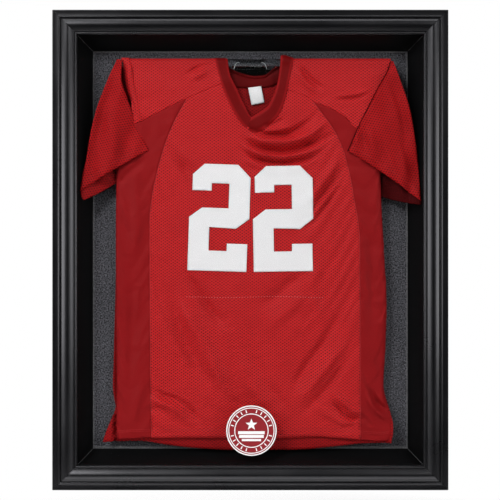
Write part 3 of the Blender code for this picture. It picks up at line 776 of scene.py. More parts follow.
def build_emblem():
    """A plain round badge on the pane: white rim, red field, a star, three bars and a ring of dashes."""
    low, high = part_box("emblem")
    middle = (500.0 * (low.x + high.x), 500.0 * (low.z + high.z))
    radius = 500.0 * (high.x - low.x)
    rear = -1000.0 * high.y
    base = printed_shape("emblem_base", middle, circle(radius), rear, 0.45, WHITE_INK)
    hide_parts("emblem")
    level, film = rear + 0.46, 0.12
    printed_ring("emblem_outer_band", middle, radius - 4.6, radius - 2.6, level, film, RED_INK)
    printed_ring("emblem_field_band", middle, radius - 17.5, radius - 6.6, level, film, RED_INK)
    printed_shape("emblem_field", middle, circle(radius - 19.6), level, film, RED_INK)
    top = level + film + 0.01
    star = []
    for i in range(10):
        reach = 13.5 if i % 2 == 0 else 5.6
        angle = math.radians(90.0 + 36.0 * i)
        star.append((reach * math.cos(angle), 13.0 + reach * math.sin(angle)))
    printed_shape("emblem_star", middle, star, top, film, WHITE_INK)
    for i, (height, half, tall) in enumerate(((-4.5, 29.0, 3.2), (-12.5, 27.0, 3.2), (-20.5, 21.0, 2.4))):
        bar = [(u * half, height + v * tall) for u, v in CORNERS]
        printed_shape("emblem_bar_%d" % (i + 1), middle, bar, top, film, WHITE_INK)
    away = radius - 12.0
    for i in range(24):
        if i % 6 == 0:
            continue
        angle = math.radians(15.0 * i)
        c, s = math.cos(angle), math.sin(angle)
        spot = (middle[0] + away * c, middle[1] + away * s)
        dash = [(3.4 * u * c - 1.1 * v * s, 3.4 * u * s + 1.1 * v * c) for u, v in CORNERS]
        printed_shape("emblem_dash_%02d" % i, spot, dash, top, film, WHITE_INK)


# Small hardware


def build_hardware():
    """Finished metals on the hinges, catches, hangers and screws, and rubber on the bumpers."""
    finishes = (
        (("hinge_", "hanger_", "catch_strike", "cradle_screw"), ZINC),
        (("catch_magnet",), NICKEL),
        (("wall_bumper",), RUBBER),
    )
    for name in sorted(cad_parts):
        for starts, look in finishes:
            if name.startswith(starts):
                recolour(name, look)


def build_rod():
    """Clear rod with turned, eased ends, lying in its clear cradle; painted glints down the cradle's edges,
    and a small black sheet of painted shade on the felt behind the neck.
    """
    # How far each ring of an eased end is drawn in along the rod, and how much smaller it is.
    end = [(0.0, 1.6), (0.405, 0.9), (0.7625, 0.25), (0.9, 0.0)]
    stations = [(drawn_in - ROD_END, shrink) for drawn_in, shrink in end]
    stations += [(share * ROD_END, 0.0) for share in np.linspace(-0.95, 0.95, 9)]
    stations += [(ROD_END - drawn_in, shrink) for drawn_in, shrink in reversed(end)]
    rings = []
    for x, shrink in stations:
        loop = circle(ROD_RADIUS - shrink, 48)
        rings.append([(x, -ROD_DEPTH - out, ROD_HEIGHT + up) for out, up in loop])
    points, faces = capped(rings)
    body = "rod_and_jersey"
    outward(piece("display_rod_clear", points, faces, CLEAR, body, "display_rod"))
    soften(recolour("rod_cradle", CLEAR), 0.0003, 1)
    front = -1000.0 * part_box("rod_cradle")[0].y
    # Pale cords down the cradle's slanted edges are painted glints.
    for side, sign in (("left", -1.0), ("right", 1.0)):
        edge = [(36.5, 399.0), (35.5, 402.5), (32.0, 411.0), (29.5, 413.5), (24.0, 414.2)]
        line = [(sign * x, -(front - 0.2), z) for x, z in path(edge, 14)]
        cord_along("cradle_painted_glint_" + side, line, 0.55, PAINTED_GLINT, "case")
    # A black sheet on the felt behind the neck: painted shade that makes that place read black.
    outline = []
    for k, spot in enumerate(((52.0, 399.0), (-52.0, 399.0), (-52.0, 358.0), (52.0, 358.0))):
        outline += arc(spot, 4.0, 90.0 * k, 90.0 * (k + 1), 5)
    levels = (FELT_DEPTH + 0.05, FELT_DEPTH + 0.25)
    points, faces = capped([[(x, -level, z) for x, z in outline] for level in levels])
    outward(piece("neck_painted_shade_sheet", points, faces, LINER, "case", smooth=False))


# Jersey


FOLD_STRENGTH = 3.0
FOLDS = [
    # width, height, points along the fold (positive heights stand forward)
    (6.0, -4.2, [(2, 264), (35, 256), (70, 256), (104, 269), (140, 292)]),
    (4.5, -2.2, [(30, 272), (50, 279), (74, 289)]),
    (5.0, 2.4, [(34, 264), (60, 266), (88, 275)]),
    (7.0, 4.2, [(-4, 249), (35, 242), (75, 241), (116, 250), (165, 278)]),
    (6.5, -5.2, [(-22, 246), (4, 233), (36, 224), (70, 220), (105, 227), (140, 240), (183, 253)]),
    (6.5, 3.8, [(-10, 225), (35, 210), (70, 207), (112, 214), (150, 225)]),
    (6.5, -4.4, [(-22, 222), (4, 208), (36, 198), (70, 195), (110, 201), (152, 213)]),
    (8.0, 1.8, [(-20, 203), (20, 187), (60, 182), (110, 188)]),
    (10.0, -4.0, [(210, 186), (175, 143), (140, 98), (110, 58), (84, 24)]),
    (7.0, -3.0, [(192, 137), (148, 78), (106, 30)]),
    (7.0, 2.4, [(202, 162), (160, 108), (118, 55)]),
    (11.0, 2.4, [(192, 194), (152, 144), (120, 105)]),
    (8.0, -3.4, [(-182, 227), (-155, 193), (-130, 161), (-102, 98), (-84, 45), (-56, 18)]),
    (9.0, 2.2, [(-166, 240), (-138, 206), (-110, 160), (-84, 100)]),
    (11.0, -4.2, [(-136, -50), (-113, -91), (-84, -134), (-60, -168)]),
    (17.0, 5.0, [(-157, -112), (-113, -183), (-77, -254), (-52, -320)]),
    (14.0, -3.4, [(-170, -84), (-155, -169), (-134, -229), (-105, -292)]),
    (5.0, -3.2, [(-216, -314), (-166, -328), (-134, -349), (-109, -383)]),
    (7.0, 3.2, [(-221, -330), (-180, -341), (-155, -356), (-135, -379)]),
    (5.0, -2.0, [(-226, -350), (-200, -353), (-178, -366)]),
    (10.0, -3.6, [(192, -148), (155, -211), (123, -254), (95, -312)]),
    (12.0, 3.0, [(202, -212), (160, -265), (110, -332)]),
    (8.0, -3.2, [(212, -246), (176, -293), (122, -357)]),
    (7.0, 3.8, [(188, -314), (207, -338), (225, -353), (246, -359)]),
    (5.0, -3.4, [(183, -334), (205, -358), (225, -373), (246, -376)]),
    (8.0, 2.2, [(148, -344), (190, -373), (230, -387)]),
    (15.0, -3.2, [(108, -56), (70, -88), (33, -120)]),
    (16.0, 2.2, [(120, -95), (80, -130), (40, -175)]),
    (6.0, -3.2, [(264, -303), (282, -335), (308, -358)]),
    (6.0, 3.0, [(258, -325), (275, -350), (303, -374)]),
    (5.0, -2.0, [(248, -366), (268, -388)]),
    (4.0, -2.0, [(-139, 391), (-99, 411), (-72, 413)]),
    (7.0, 1.5, [(-127, 379), (-96, 396)]),
    (6.0, -2.2, [(112, 407), (133, 377), (160, 355)]),
    (7.0, 1.8, [(103, 400), (120, 372), (142, 349)]),
    (4.0, -1.3, [(193, 331), (229, 334), (256, 342)]),
    (5.0, 1.6, [(190, 340), (229, 344), (258, 352)]),
    (12.0, 1.8, [(-256, 190), (-250, 90), (-252, -20)]),
    (8.0, -2.0, [(-297, 146), (-271, 168), (-236, 198)]),
    (10.0, -1.6, [(-262, -60), (-262, -180), (-268, -290)]),
    (10.0, 1.8, [(-238, -290), (-252, -340), (-262, -392)]),
    (12.0, -1.8, [(262, 60), (272, -60), (268, -200)]),
    (13.0, 2.0, [(150, 10), (138, -90), (168, -180)]),
    (16.0, 2.2, [(-30, -230), (10, -310), (60, -372)]),
    (12.0, -2.0, [(-8, -200), (35, -290), (88, -352)]),
]


def fold_relief(x, z):
    """Forward push of all the folds at points across the jersey's front."""
    total = np.zeros(x.shape)
    for width, height, line in FOLDS:
        points = path(line, 4 * len(line) + 5)
        low, high = points.min(axis=0) - 3.2 * width, points.max(axis=0) + 3.2 * width
        near = (x > low[0]) & (x < high[0]) & (z > low[1]) & (z < high[1])
        if not near.any():
            continue
        px, pz = x[near], z[near]
        best, share = np.full(px.shape, 1e9), np.zeros(px.shape)
        for i in range(len(points) - 1):
            a, b = points[i], points[i + 1]
            run = b - a
            t = np.clip(((px - a[0]) * run[0] + (pz - a[1]) * run[1]) / run.dot(run), 0.0, 1.0)
            gap = np.hypot(px - a[0] - t * run[0], pz - a[1] - t * run[1])
            closer = gap < best
            best = np.where(closer, gap, best)
            share = np.where(closer, (i + t) / (len(points) - 1), share)
        taper = ease(-0.15, 0.3, share) * ease(-0.15, 0.3, 1.0 - share)
        total[near] += FOLD_STRENGTH * height * taper * np.exp(-((best / width) ** 2))
    return total


# Edges and seams of the front: x by height for the upright ones, height by x for the others.
LEFT_EDGE = through(
    [(-430, -296), (-340, -297), (-200, -297.5), (0, -298)]
    + [(205, -297), (262, -301), (300, -325), (430, -325)]
)
RIGHT_EDGE = through(
    [(-425, 311), (-400, 316), (-386, 316), (-359, 310), (-330, 301), (-300, 295.5), (-229, 299)]
    + [(-124, 302), (0, 296), (150, 289), (210, 291), (262, 300), (300, 326), (430, 326)]
)
LEFT_SEAM = through(
    [(-430, -218.5), (-200, -221), (60, -222), (116, -217)]
    + [(173, -205), (236, -187), (286, -166), (336, -139)]
)
RIGHT_SEAM = through([(-430, 243), (-100, 242), (25, 241), (116, 228.5), (201, 211), (254, 190), (329, 137)])
FRONT_HEM = through(
    [(-300, -420), (-222, -417), (-120, -416.5), (60, -417)]
    + [(150, -414), (200, -417), (243, -421), (290, -424), (318, -420)]
)
YOKE_LEFT = through([(-300, 258), (-231, 289), (-183, 314), (-137, 336), (-72, 363), (-40, 372)])
YOKE_RIGHT = through(
    [(60, 360), (86, 352), (119, 341), (140, 328), (176, 313), (211, 292), (229, 271), (300, 240)]
)
CENTRE_TOP = through(
    [(-140, 336), (-105, 350), (-72, 363.5), (-60, 366), (-44, 345), (-20, 303), (8, 276)]
    + [(30, 288), (52, 312), (66, 335), (77, 349), (84, 352), (119, 341), (141, 327.5)]
)
# Depth by height of the front as it hangs, before its folds.
HANG = through(
    [(-425, 37.0), (-300, 39.5), (-100, 41.5), (100, 42.5)]
    + [(260, 43.0), (360, 41.5), (405, 39.2), (415, 38.9)]
)
WRAP_RADIUS = ROD_RADIUS + 0.9


def front_depth(x, z):
    """Depth of the jersey's front at a place across it: hanging line, folds, and edges rolled to the back."""
    held = ease(-150.0, -126.0, x) * ease(152.0, 130.0, x) * ease(-62.0, -40.0, z) * ease(200.0, 178.0, z)
    depth = HANG(z) + fold_relief(x, z) * ease(415.0, 396.0, z) * (1.0 - 0.7 * held)
    loose = ease(410.0, 370.0, z)
    depth = depth + 1.1 * waves(x, z, 3, 95.0) * loose + 0.4 * waves(x, z, 5, 34.0) * loose
    for near in (nearness(x - LEFT_EDGE(z), 9.0), nearness(RIGHT_EDGE(z) - x, 9.0)):
        depth = depth - 9.0 * (1.0 - np.sqrt(np.maximum(1.0 - near * near, 0.0)))
    return depth


def over_rod(x, run, lift):
    """Places cloth by its run up the front; past the rod's middle it turns over the rod and down behind."""
    run = np.asarray(run, float)
    lift = np.broadcast_to(lift, run.shape)
    radius = WRAP_RADIUS + lift
    turn = np.clip((run - ROD_HEIGHT) / WRAP_RADIUS, 0.0, math.pi)
    down = np.maximum(run - ROD_HEIGHT - math.pi * WRAP_RADIUS, 0.0)
    on_front = run < ROD_HEIGHT
    depth = np.where(on_front, front_depth(x, run) + lift, ROD_DEPTH + radius * np.cos(turn))
    height = np.where(on_front, run, ROD_HEIGHT + radius * np.sin(turn) - down)
    return np.stack([x, -depth, height], axis=-1)


def area_grid(left, right, bottom, top, columns, rows, skew=1.0):
    """Points of a four-sided area whose sides are x of height and whose ends are height of x."""
    share = np.linspace(0.0, 1.0, columns)
    share = share**skew if skew > 0.0 else 1.0 - (1.0 - share) ** (-skew)
    u, v = np.meshgrid(share, np.linspace(0.0, 1.0, rows))
    z = np.broadcast_to(-400.0 + 700.0 * v, u.shape)
    for _ in range(16):
        x = left(z) * (1.0 - u) + right(z) * u
        z = bottom(x) * (1.0 - v) + top(x) * v
    return x, z


def cloth_piece(name, points, look, stands_for, flat):
    """A panel of the jersey from its grid of points and the grid of where they lay in the flat cloth."""
    rows, columns = points.shape[:2]
    faces = grid_faces(rows, columns)
    points, flat = points.reshape(-1, 3), flat.reshape(-1, 2)
    made = piece(
        name, points, faces, look, "rod_and_jersey", stands_for, flat, sharp=CLOTH_SHARP_ANGLE
    )
    made["edge"] = [columns, rows]
    return made


def thicken(obj, thick=CLOTH_THICKNESS):
    """Gives cloth its thickness behind the face that shows."""
    shell = obj.modifiers.new("thickness", "SOLIDIFY")
    shell.thickness, shell.offset = thick * MM, -1.0
    return obj


def front_panel(name, left, right, top, columns, rows, look, skew=1.0):
    """A panel of the front, from the hem up, with its hem turned up double."""
    x, z = area_grid(left, right, FRONT_HEM, top, columns, rows, skew)
    above_hem = z - FRONT_HEM(x)
    depth = front_depth(x, z) + 0.45 * ease(22.0, 17.0, above_hem) - 1.6 * ease(5.0, 0.0, above_hem)
    points = np.stack([x, -depth, z], axis=-1)
    return cloth_piece(name, points, look, "jersey_front", np.stack([x, z], axis=-1))


def build_front():
    """The front's middle and side panels, and the two shoulder yokes that turn over the rod."""
    made = [
        front_panel("jersey_front_centre", LEFT_SEAM, RIGHT_SEAM, CENTRE_TOP, 121, 200, MESH),
        front_panel("jersey_side_left", LEFT_EDGE, LEFT_SEAM, YOKE_LEFT, 27, 180, KNIT, 1.5),
        front_panel("jersey_side_right", RIGHT_SEAM, RIGHT_EDGE, YOKE_RIGHT, 27, 180, KNIT, -1.5),
    ]
    top_run = ROD_HEIGHT + math.pi * WRAP_RADIUS + 70.0
    inner_left = through([(355, -46), (370, -52), (392, -61), (424, -67), (520, -68)])
    outer_left = through(
        [(262, -262), (300, -262), (330, -263), (360, -261), (400, -266), (424, -270), (470, -296)]
    )
    inner_right = through([(340, 72), (352, 76), (385, 78), (424, 84), (520, 84)])
    outer_right = through(
        [(240, 240), (271, 254), (313, 282), (355, 301), (394, 309), (424, 311), (470, 304)]
    )
    for side, left, right, seam in (
        ("left", outer_left, inner_left, YOKE_LEFT),
        ("right", inner_right, outer_right, YOKE_RIGHT),
    ):
        x, run = area_grid(left, right, seam, lambda x: np.full(np.shape(x), top_run), 96, 110)
        points = over_rod(x, run, 0.7 - 0.9 * ease(1.6, 0.0, run - seam(x)))
        flat = np.stack([x, run], axis=-1)
        name = "jersey_yoke_" + side
        made.append(cloth_piece(name, points, MESH, "jersey_shoulder_" + side, flat))
    return made


def build_back():
    """The back of the jersey: behind the rod at the shoulders, scooped at the neck, longer than the front."""
    top = through(
        [(-300, 415), (-100, 415), (-66, 415), (-60, 403), (-51, 388), (-43, 384), (-19, 381)]
        + [(10, 378), (31, 380), (46, 385), (57, 402), (66, 415), (100, 415), (300, 415)]
    )
    left = through(
        [(-445, -333), (-427, -328), (-390, -315), (-362, -303), (-345, -300)]
        + [(-300, -304.5), (-250, -303), (-20, -297), (430, -290)]
    )
    right = through(
        [(-445, 308), (-425, 311), (-400, 315), (-386, 315), (-359, 309), (-300, 294.5)]
        + [(-229, 298), (-124, 301), (0, 295), (150, 288), (430, 288)]
    )
    hem = through(
        [(-335, -426), (-246, -423), (-190, -431), (-130, -438.5), (-45, -443)]
        + [(88, -443), (207, -433), (243, -429), (320, -427)]
    )
    x, z = area_grid(left, right, hem, top, 96, 150)
    depth = 17.2 + 1.2 * waves(x, z, 11, 150.0)
    depth = depth + 13.0 * ease(-330.0, -418.0, z)
    depth = depth + 12.0 * ease(-352.0, -330.0, z) * nearness(x - left(z), 16.0) ** 2
    depth = depth + 12.0 * nearness(right(z) - x, 16.0) ** 2
    flap = ease(-335.0, -400.0, z) * ease(-298.0, -308.0, x)
    slit = ease(-335.0, -380.0, z) * ease(7.0, 0.0, np.abs(x + 299.0))
    depth = np.maximum(depth + flap - 14.0 * slit, FELT_DEPTH + 2.5)
    points = np.stack([x, -depth, z], axis=-1)
    flat = np.stack([x, z], axis=-1)
    return cloth_piece("jersey_back_panel", points, SHADED_MESH_INSIDE, "jersey_back", flat)


def build_sleeve(side):
    """A short sleeve pressed flat: front layer, folded outer edge, back layer showing under the hem."""
    # A crease of the front layer: its rise, its x at a height of 300, how it leans, its width, and the shares
    # of the way down at which it starts and is whole.
    if side == "left":
        sign, hem_sag, under_sag = -1.0, 2.0, -2.0
        inner = [(-283, 421), (-284, 400), (-283.5, 377), (-273, 341), (-261, 306), (-243, 263), (-224, 220)]
        outer = [(-295, 422), (-308, 390), (-322, 355), (-336, 317), (-350, 262), (-361, 200), (-371, 148)]
        outer_end, under_end = [(-374.5, 129)], [(-371.5, 119), (-366, 109)]
        under_inner = [(-286, 420), (-286, 300), (-288, 200), (-292, 152)]
        creases = ((5.5, -292.0, -0.16, 17.0, 0.1, 0.4), (-4.5, -326.0, -0.20, 11.0, 0.2, 0.5))
    else:
        sign, hem_sag, under_sag = 1.0, 4.0, -3.0
        inner = [(311, 417), (303, 394), (282, 356), (260, 313), (239, 271), (216, 218)]
        outer = [(316, 417), (329, 377), (346, 327), (354.5, 292), (361.5, 246), (366, 214), (371, 154)]
        outer_end, under_end = [(375, 106)], [(375.5, 112), (374.5, 99)]
        under_inner = [(306, 416), (292, 330), (288, 200), (285, 121)]
        creases = ((5.0, 312.0, 0.12, 15.0, 0.1, 0.4), (-5.5, 335.0, 0.10, 10.0, 0.2, 0.5))
    rows, columns = 110, 56
    v = np.linspace(0.0, 1.0, rows)[:, None]
    u = np.linspace(0.0, 1.0, columns)[None, :]
    made = []
    for layer, near_edge, far_edge, sag in (
        ("", inner, outer + outer_end, hem_sag),
        ("_under", under_inner, outer + under_end, under_sag),
    ):
        x, z = between(path(near_edge, rows), path(far_edge, rows), u)
        z = z + sag * np.sin(math.pi * u) * v**3
        reach = np.abs(x)
        face = 46.5 + 0.088 * (reach - 224.0) - 13.0 * ease(378.0, 424.0, z)
        swell = waves(x * 1.5 + sign * 0.4 * z, z * 0.5, 21 + (sign > 0), 50.0)
        swell = 4.8 * swell * ease(0.0, 0.3, v) * (0.4 + 0.6 * v)
        rim = 1.0 - np.sqrt(np.maximum(1.0 - np.clip(1.0 - (1.0 - u) * 9.0, 0.0, 1.0) ** 2, 0.0))
        if layer:
            share = np.clip((reach - 284.0) / (374.0 - 284.0), 0.0, 1.0)
            depth = face - 5.2 - 22.0 * (1.0 - share) ** 1.3 + 0.8 * swell + 0.8 * rim
            depth = np.maximum(depth, 20.0)
            # The right under layer takes the painted-shade mesh; the left takes the darker inside mesh.
            look = SHADED_MESH_INSIDE if side == "left" else PAINTED_SHADE_MESH
        else:
            depth = face + swell - 2.6 * rim - 3.4 * np.clip(1.0 - u * 14.0, 0.0, 1.0) ** 2
            for rise, middle, tilt, width, start, whole in creases:
                away = (x - middle - tilt * (300.0 - z)) / width
                depth = depth + rise * np.exp(-(away**2)) * ease(start, whole, v)
            depth = depth + 0.5 * ease(0.86, 0.90, v) - 1.4 * ease(0.985, 1.0, v)
            look = SHADED_SLEEVE_MESH
        points = np.stack([x, -depth, z], axis=-1)
        lean = math.radians(24.0) * sign
        across = x * math.cos(lean) + z * math.sin(lean)
        down = z * math.cos(lean) - x * math.sin(lean)
        flat = np.stack([across, down], axis=-1)
        if side == "left":
            points, flat = points[:, ::-1], flat[:, ::-1]
        node = "jersey_sleeve_" + side
        made.append(cloth_piece(node + layer + "_cloth", points[::-1], look, node, flat[::-1]))
    return made


def build_pleat():
    """The pleat of shoulder cloth between the left sleeve's slit and the yoke."""
    heights = (425, 412, 398, 376, 350, 328, 303, 284)
    inner = path(list(zip((-286, -280, -276, -275, -270, -262, -252, -242), heights)), 70)
    outer = path(list(zip((-266, -262, -260, -257, -252, -247, -242, -238), heights)), 70)
    u = np.linspace(0.0, 1.0, 15)[None, :]
    x, z = between(inner, outer, u)
    turned_in = np.clip(1.0 - u * 3.2, 0.0, 1.0)
    below_rod = ease(424.0, 405.0, z)
    depth = 44.4 - 5.5 * ease(396.0, 424.0, z) + 1.2 * np.sin(math.pi * u)
    depth = depth - 12.0 * turned_in**1.5 * below_rod - 2.6 * ease(0.8, 1.0, u)
    x = x - 3.0 * turned_in**2 * below_rod
    points = np.stack([x, -depth, z], axis=-1)[::-1]
    flat = np.stack([x, z], axis=-1)[::-1]
    return cloth_piece("jersey_shoulder_pleat", points, MESH, "jersey_sleeve_left", flat)


def build_collar():
    """The rib collar: a band down each side of the neck meeting in a V, and the double band behind."""
    left_outer = [(14, 257), (-3, 264), (-24.5, 286), (-40, 312), (-56, 345), (-69, 384), (-79, 424)]
    left_inner = [(10, 292), (3, 294), (-14, 322), (-31, 359), (-46, 392), (-50, 424)]
    right_outer = [(-3, 263), (14, 257.5), (30, 267), (50, 283), (66, 305), (77, 336), (86, 378), (96, 424)]
    right_inner = [(-2, 287), (4, 294), (20, 304), (38, 317), (50, 339), (58, 362), (64, 392), (67, 424)]
    u = np.linspace(0.0, 1.0, 13)[None, :]
    past_rod = 16
    made = []
    # On top is how far each band stands over the other where they cross and turn over the rod.
    for side, outer, inner, on_top, longer in (
        ("left", left_outer, left_inner, 0.0, 0.0),
        ("right", right_outer, right_inner, 1.2, 4.0),
    ):
        x, run = between(path(outer, 84), path(inner, 84), u)
        tail = np.linspace(4.0, math.pi * WRAP_RADIUS - 8.0 + longer, past_rod)[:, None]
        run = np.concatenate([run, np.repeat(run[-1:], past_rod, axis=0) + tail])
        x = np.concatenate([x, np.repeat(x[-1:], past_rod, axis=0)])
        lift = 0.9 + 1.1 * np.sin(math.pi * u) ** 0.6 - 0.5 * np.sin(math.pi * u) ** 6
        lift = lift - 1.6 * ease(0.85, 1.0, u) + on_top
        if side == "right":
            lift = lift + 6.0 * ease(405.0, 427.0, run) * ease(450.0, 436.0, run) * ease(0.0, 0.75, u)
        points = over_rod(x, run, lift)
        down = np.arange(1, len(x) + 1)[:, None] * 2.2
        flat = np.stack(np.broadcast_arrays(u * 27.0, down), axis=-1)
        if side == "right":
            points, flat = points[:, ::-1], flat[:, ::-1]
        made.append(cloth_piece("jersey_collar_" + side, points, COLLAR, "jersey_collar", flat))
    top = through([(-64, 413), (-43, 403), (-19, 393), (10, 387), (31, 389), (50, 403), (66, 414)])
    bottom = through([(-64, 372), (-33, 361.5), (10, 361), (45, 364), (66, 374)])
    # The rolled lip as rise and depth, then the band below it as share of the way down and depth.
    lip = [(1.0, 17.4), (0.2, 19.4), (-0.8, 21.0), (-2.4, 21.6), (-4.0, 21.2)]
    lip += [(-5.2, 19.6), (-5.9, 18.6), (-6.6, 18.4)]
    band = [(0.06, 19.0), (0.12, 20.2), (0.3, 20.9), (0.6, 20.9), (0.85, 20.7), (0.95, 20.2), (1.0, 18.6)]
    x = np.linspace(-64.0, 66.0, 66)
    lines = [(top(x) + rise, depth) for rise, depth in lip]
    lines += [((top(x) - 6.6) * (1.0 - share) + bottom(x) * share, depth) for share, depth in band]
    points = np.stack([np.stack([x, np.full(x.shape, -depth), z], axis=-1) for z, depth in lines[::-1]])
    flat = points[..., [0, 2]]
    made.append(cloth_piece("jersey_collar_back", points, NECK_TAPE, "jersey_collar", flat))
    return made


# Numerals and label


# Outline of a plain block numeral two, as shares of its width and height from the top left.
BLOCK_TWO = [
    (0.04, 0.25), (0.04, 0.10), (0.23, 0.0), (0.79, 0.0), (1.0, 0.12), (1.0, 0.505), (0.78, 0.60),
    (0.34, 0.59), (0.34, 0.81), (0.64, 0.81), (0.64, 0.74), (0.98, 0.74), (0.98, 1.0), (0.0, 1.0),
    (0.0, 0.50), (0.21, 0.41), (0.65, 0.41), (0.65, 0.18), (0.36, 0.18), (0.36, 0.25),
]


def numeral_outline(centre, width, height, turn, grow=0.0):
    """The numeral's outline, turned by some degrees and moved outward by grow."""
    points = [((u - 0.5) * width, (0.5 - v) * height) for u, v in BLOCK_TWO]
    if grow:
        moved = []
        for i, here in enumerate(points):
            before, after = Vector(points[i - 1]), Vector(points[(i + 1) % len(points)])
            here = Vector(here)
            first, second = (here - before).normalized(), (after - here).normalized()
            first, second = Vector((-first.y, first.x)), Vector((-second.y, second.x))
            corner = (first + second).normalized()
            moved.append(here + corner * (grow / max(corner.dot(first), 0.35)))
        points = moved
    c, s = math.cos(math.radians(turn)), math.sin(math.radians(turn))
    return [(centre[0] + x * c - z * s, centre[1] + x * s + z * c) for x, z in points]


class Surface:
    """The finished cloth, asked for its depth at a place across the front."""

    def __init__(self, *objects):
        points, faces = [], []
        for obj in objects:
            base = len(points)
            points += [v.co / MM for v in obj.data.vertices]
            faces += [[base + i for i in f.vertices] for f in obj.data.polygons]
        self.tree = BVHTree.FromPolygons(points, faces)

    def depth(self, x, z, default=42.0):
        """Depth of the cloth at a place, or the default beside the cloth."""
        spot = self.tree.ray_cast(Vector((x, -200.0, z)), Vector((0.0, 1.0, 0.0)))[0]
        return default if spot is None else -spot.y

    def smooth_depth(self, x, z, reach=8.0):
        """The greater of the depth at a place and the mean about it, as a stiffer cloth laid on top takes."""
        here = self.depth(x, z)
        around = sum(self.depth(x + dx, z + dz) for dx, dz in circle(reach, 8))
        return max(here, (here + around) / 9.0)


def laid_shape(name, outline, surface, lift, thick, look, stands_for, step=5.0):
    """A flat cut shape laid on the cloth: cut into a fine grid, then following the folds beneath."""
    work = bmesh.new()
    work.faces.new([work.verts.new((x, 0.0, z)) for x, z in outline])
    for along, normal in zip(zip(*outline), (Vector((1.0, 0.0, 0.0)), Vector((0.0, 0.0, 1.0)))):
        for cut in np.arange(min(along) + step, max(along), step):
            everything = work.verts[:] + work.edges[:] + work.faces[:]
            spot = float(cut) * normal
            bmesh.ops.bisect_plane(work, geom=everything, dist=1e-4, plane_co=spot, plane_no=normal)
    bmesh.ops.triangulate(work, faces=[f for f in work.faces if len(f.verts) > 4])
    bmesh.ops.recalc_face_normals(work, faces=work.faces)
    if work.faces[:][0].normal.y > 0.0:
        bmesh.ops.reverse_faces(work, faces=work.faces)
    work.verts.index_update()
    flat = [(v.co.x, v.co.z) for v in work.verts]
    level = np.array([surface.smooth_depth(x, z) for x, z in flat])
    ends = np.array([[v.index for v in e.verts] for e in work.edges])
    count = np.bincount(ends.ravel())
    for _ in range(8):
        near = np.bincount(ends[:, 0], level[ends[:, 1]], len(level))
        near += np.bincount(ends[:, 1], level[ends[:, 0]], len(level))
        level = 0.5 * (level + near / count)
    points = [(x, -(depth + lift), z) for (x, z), depth in zip(flat, level)]
    faces = [[v.index for v in f.verts] for f in work.faces]
    work.free()
    made = piece(
        name, points, faces, look, "rod_and_jersey", stands_for, flat, sharp=CLOTH_SHARP_ANGLE
    )
    return thicken(made, thick)


def cord_along(name, points, radius, look, body):
    """A thin cord or row of joined threads through points in millimetres."""
    points = np.array(points, float)
    run = np.gradient(points, axis=0)
    run /= np.maximum(np.linalg.norm(run, axis=1)[:, None], 1e-9)
    side = np.cross(run, (0.0, 1.0, 0.0))
    side /= np.maximum(np.linalg.norm(side, axis=1)[:, None], 1e-9)
    up = np.cross(side, run)
    rings = [[p + c * s + d * w for c, d in circle(radius, 6)] for p, s, w in zip(points, side, up)]
    made, faces = capped(rings)
    flat = [(p[0], p[2]) for p in made]
    return outward(piece(name, made, faces, look, body, flat=flat))


def stitches(name, line, surface, look, sewing=PLAIN_SEWING, lift=0.35):
    """A row of separate short stitches of some pitch, length and radius along a line across the cloth."""
    pitch, length, radius = sewing
    line = np.array(line, float)
    gaps = np.linalg.norm(np.diff(line, axis=0), axis=1)
    along = np.concatenate([[0.0], np.cumsum(gaps)])
    # Share of the stitch's length, rise in radii, and thickness as a share of the radius.
    shape = ((0.0, -0.4, 0.45), (0.25, 0.25, 1.0), (0.75, 0.25, 1.0), (1.0, -0.4, 0.45))
    points, faces = [], []
    for start in np.arange(0.5 * pitch, along[-1] - length, pitch):
        ends = [np.array([np.interp(start + o, along, line[:, k]) for k in (0, 1)]) for o in (0.0, length)]
        spine = []
        for share, rise, _ in shape:
            x, z = ends[0] * (1.0 - share) + ends[1] * share
            spine.append(np.array([x, -(surface.depth(x, z) + lift + rise * radius), z]))
        run = spine[-1] - spine[0]
        side = np.cross(run, (0.0, 1.0, 0.0))
        side /= max(np.linalg.norm(side), 1e-9)
        base = len(points)
        for centre, (_, _, size) in zip(spine, shape):
            for across, out in circle(radius * size, 6):
                points.append(centre + across * side + np.array((0.0, -out, 0.0)))
        faces += [[base + i for i in f] for f in grid_faces(4, 6, around=True)]
        faces += [[base + i for i in range(6)][::-1], [base + 18 + i for i in range(6)]]
    flat = [(p[0], p[2]) for p in points]
    return outward(piece(name, points, faces, look, "rod_and_jersey", flat=flat))


def build_numerals(surface):
    """The two numerals laid on the front, each with a raised row of stitches just inside its edge."""
    width, inside = 133.0, -1.6
    made = []
    places = (("left", (-68.6, 71.3), 236.0, -1.9), ("right", (72.3, 69.0), 233.0, 0.9))
    for side, centre, height, turn in places:
        outline = numeral_outline(centre, width, height, turn)
        node = "jersey_number_" + side
        cloth = laid_shape("number_cloth_" + side, outline, surface, 1.8, 0.6, TWILL, node)
        rim = numeral_outline(centre, width, height, turn, inside)
        line = []
        for here, after in zip(rim, rim[1:] + rim[:1]):
            count = max(2, int(math.dist(here, after) / 3.0))
            for k in range(count):
                line.append([here[j] + (after[j] - here[j]) * k / count for j in (0, 1)])
        line.append(line[0])
        name = "number_border_" + side
        border = stitches(name, line, Surface(cloth), WHITE_THREAD, BORDER_SEWING, 0.1)
        made += [cloth, border]
    return made


def build_label():
    """The blank satin label at the back of the neck, hanging a little askew and bowed."""
    v, u = np.meshgrid(1.0 - np.arange(14) / 13, np.arange(11) / 10, indexing="ij")
    u, v = u[..., None], v[..., None]
    top = np.array((-5.0, 361.0)) * (1.0 - u) + np.array((24.0, 364.5)) * u
    low = np.array((2.7, 322.0)) * (1.0 - u) + np.array((31.0, 328.0)) * u
    flat = top * (1.0 - v) + low * v
    depth = 22.2 + 1.6 * np.sin(math.pi * v) + 0.5 * np.sin(math.pi * u)
    points = np.concatenate([flat[..., :1], -depth, flat[..., 1:]], axis=-1)
    return cloth_piece("neck_label_cloth", points, LABEL, "neck_label", flat)


# Settling the cloth


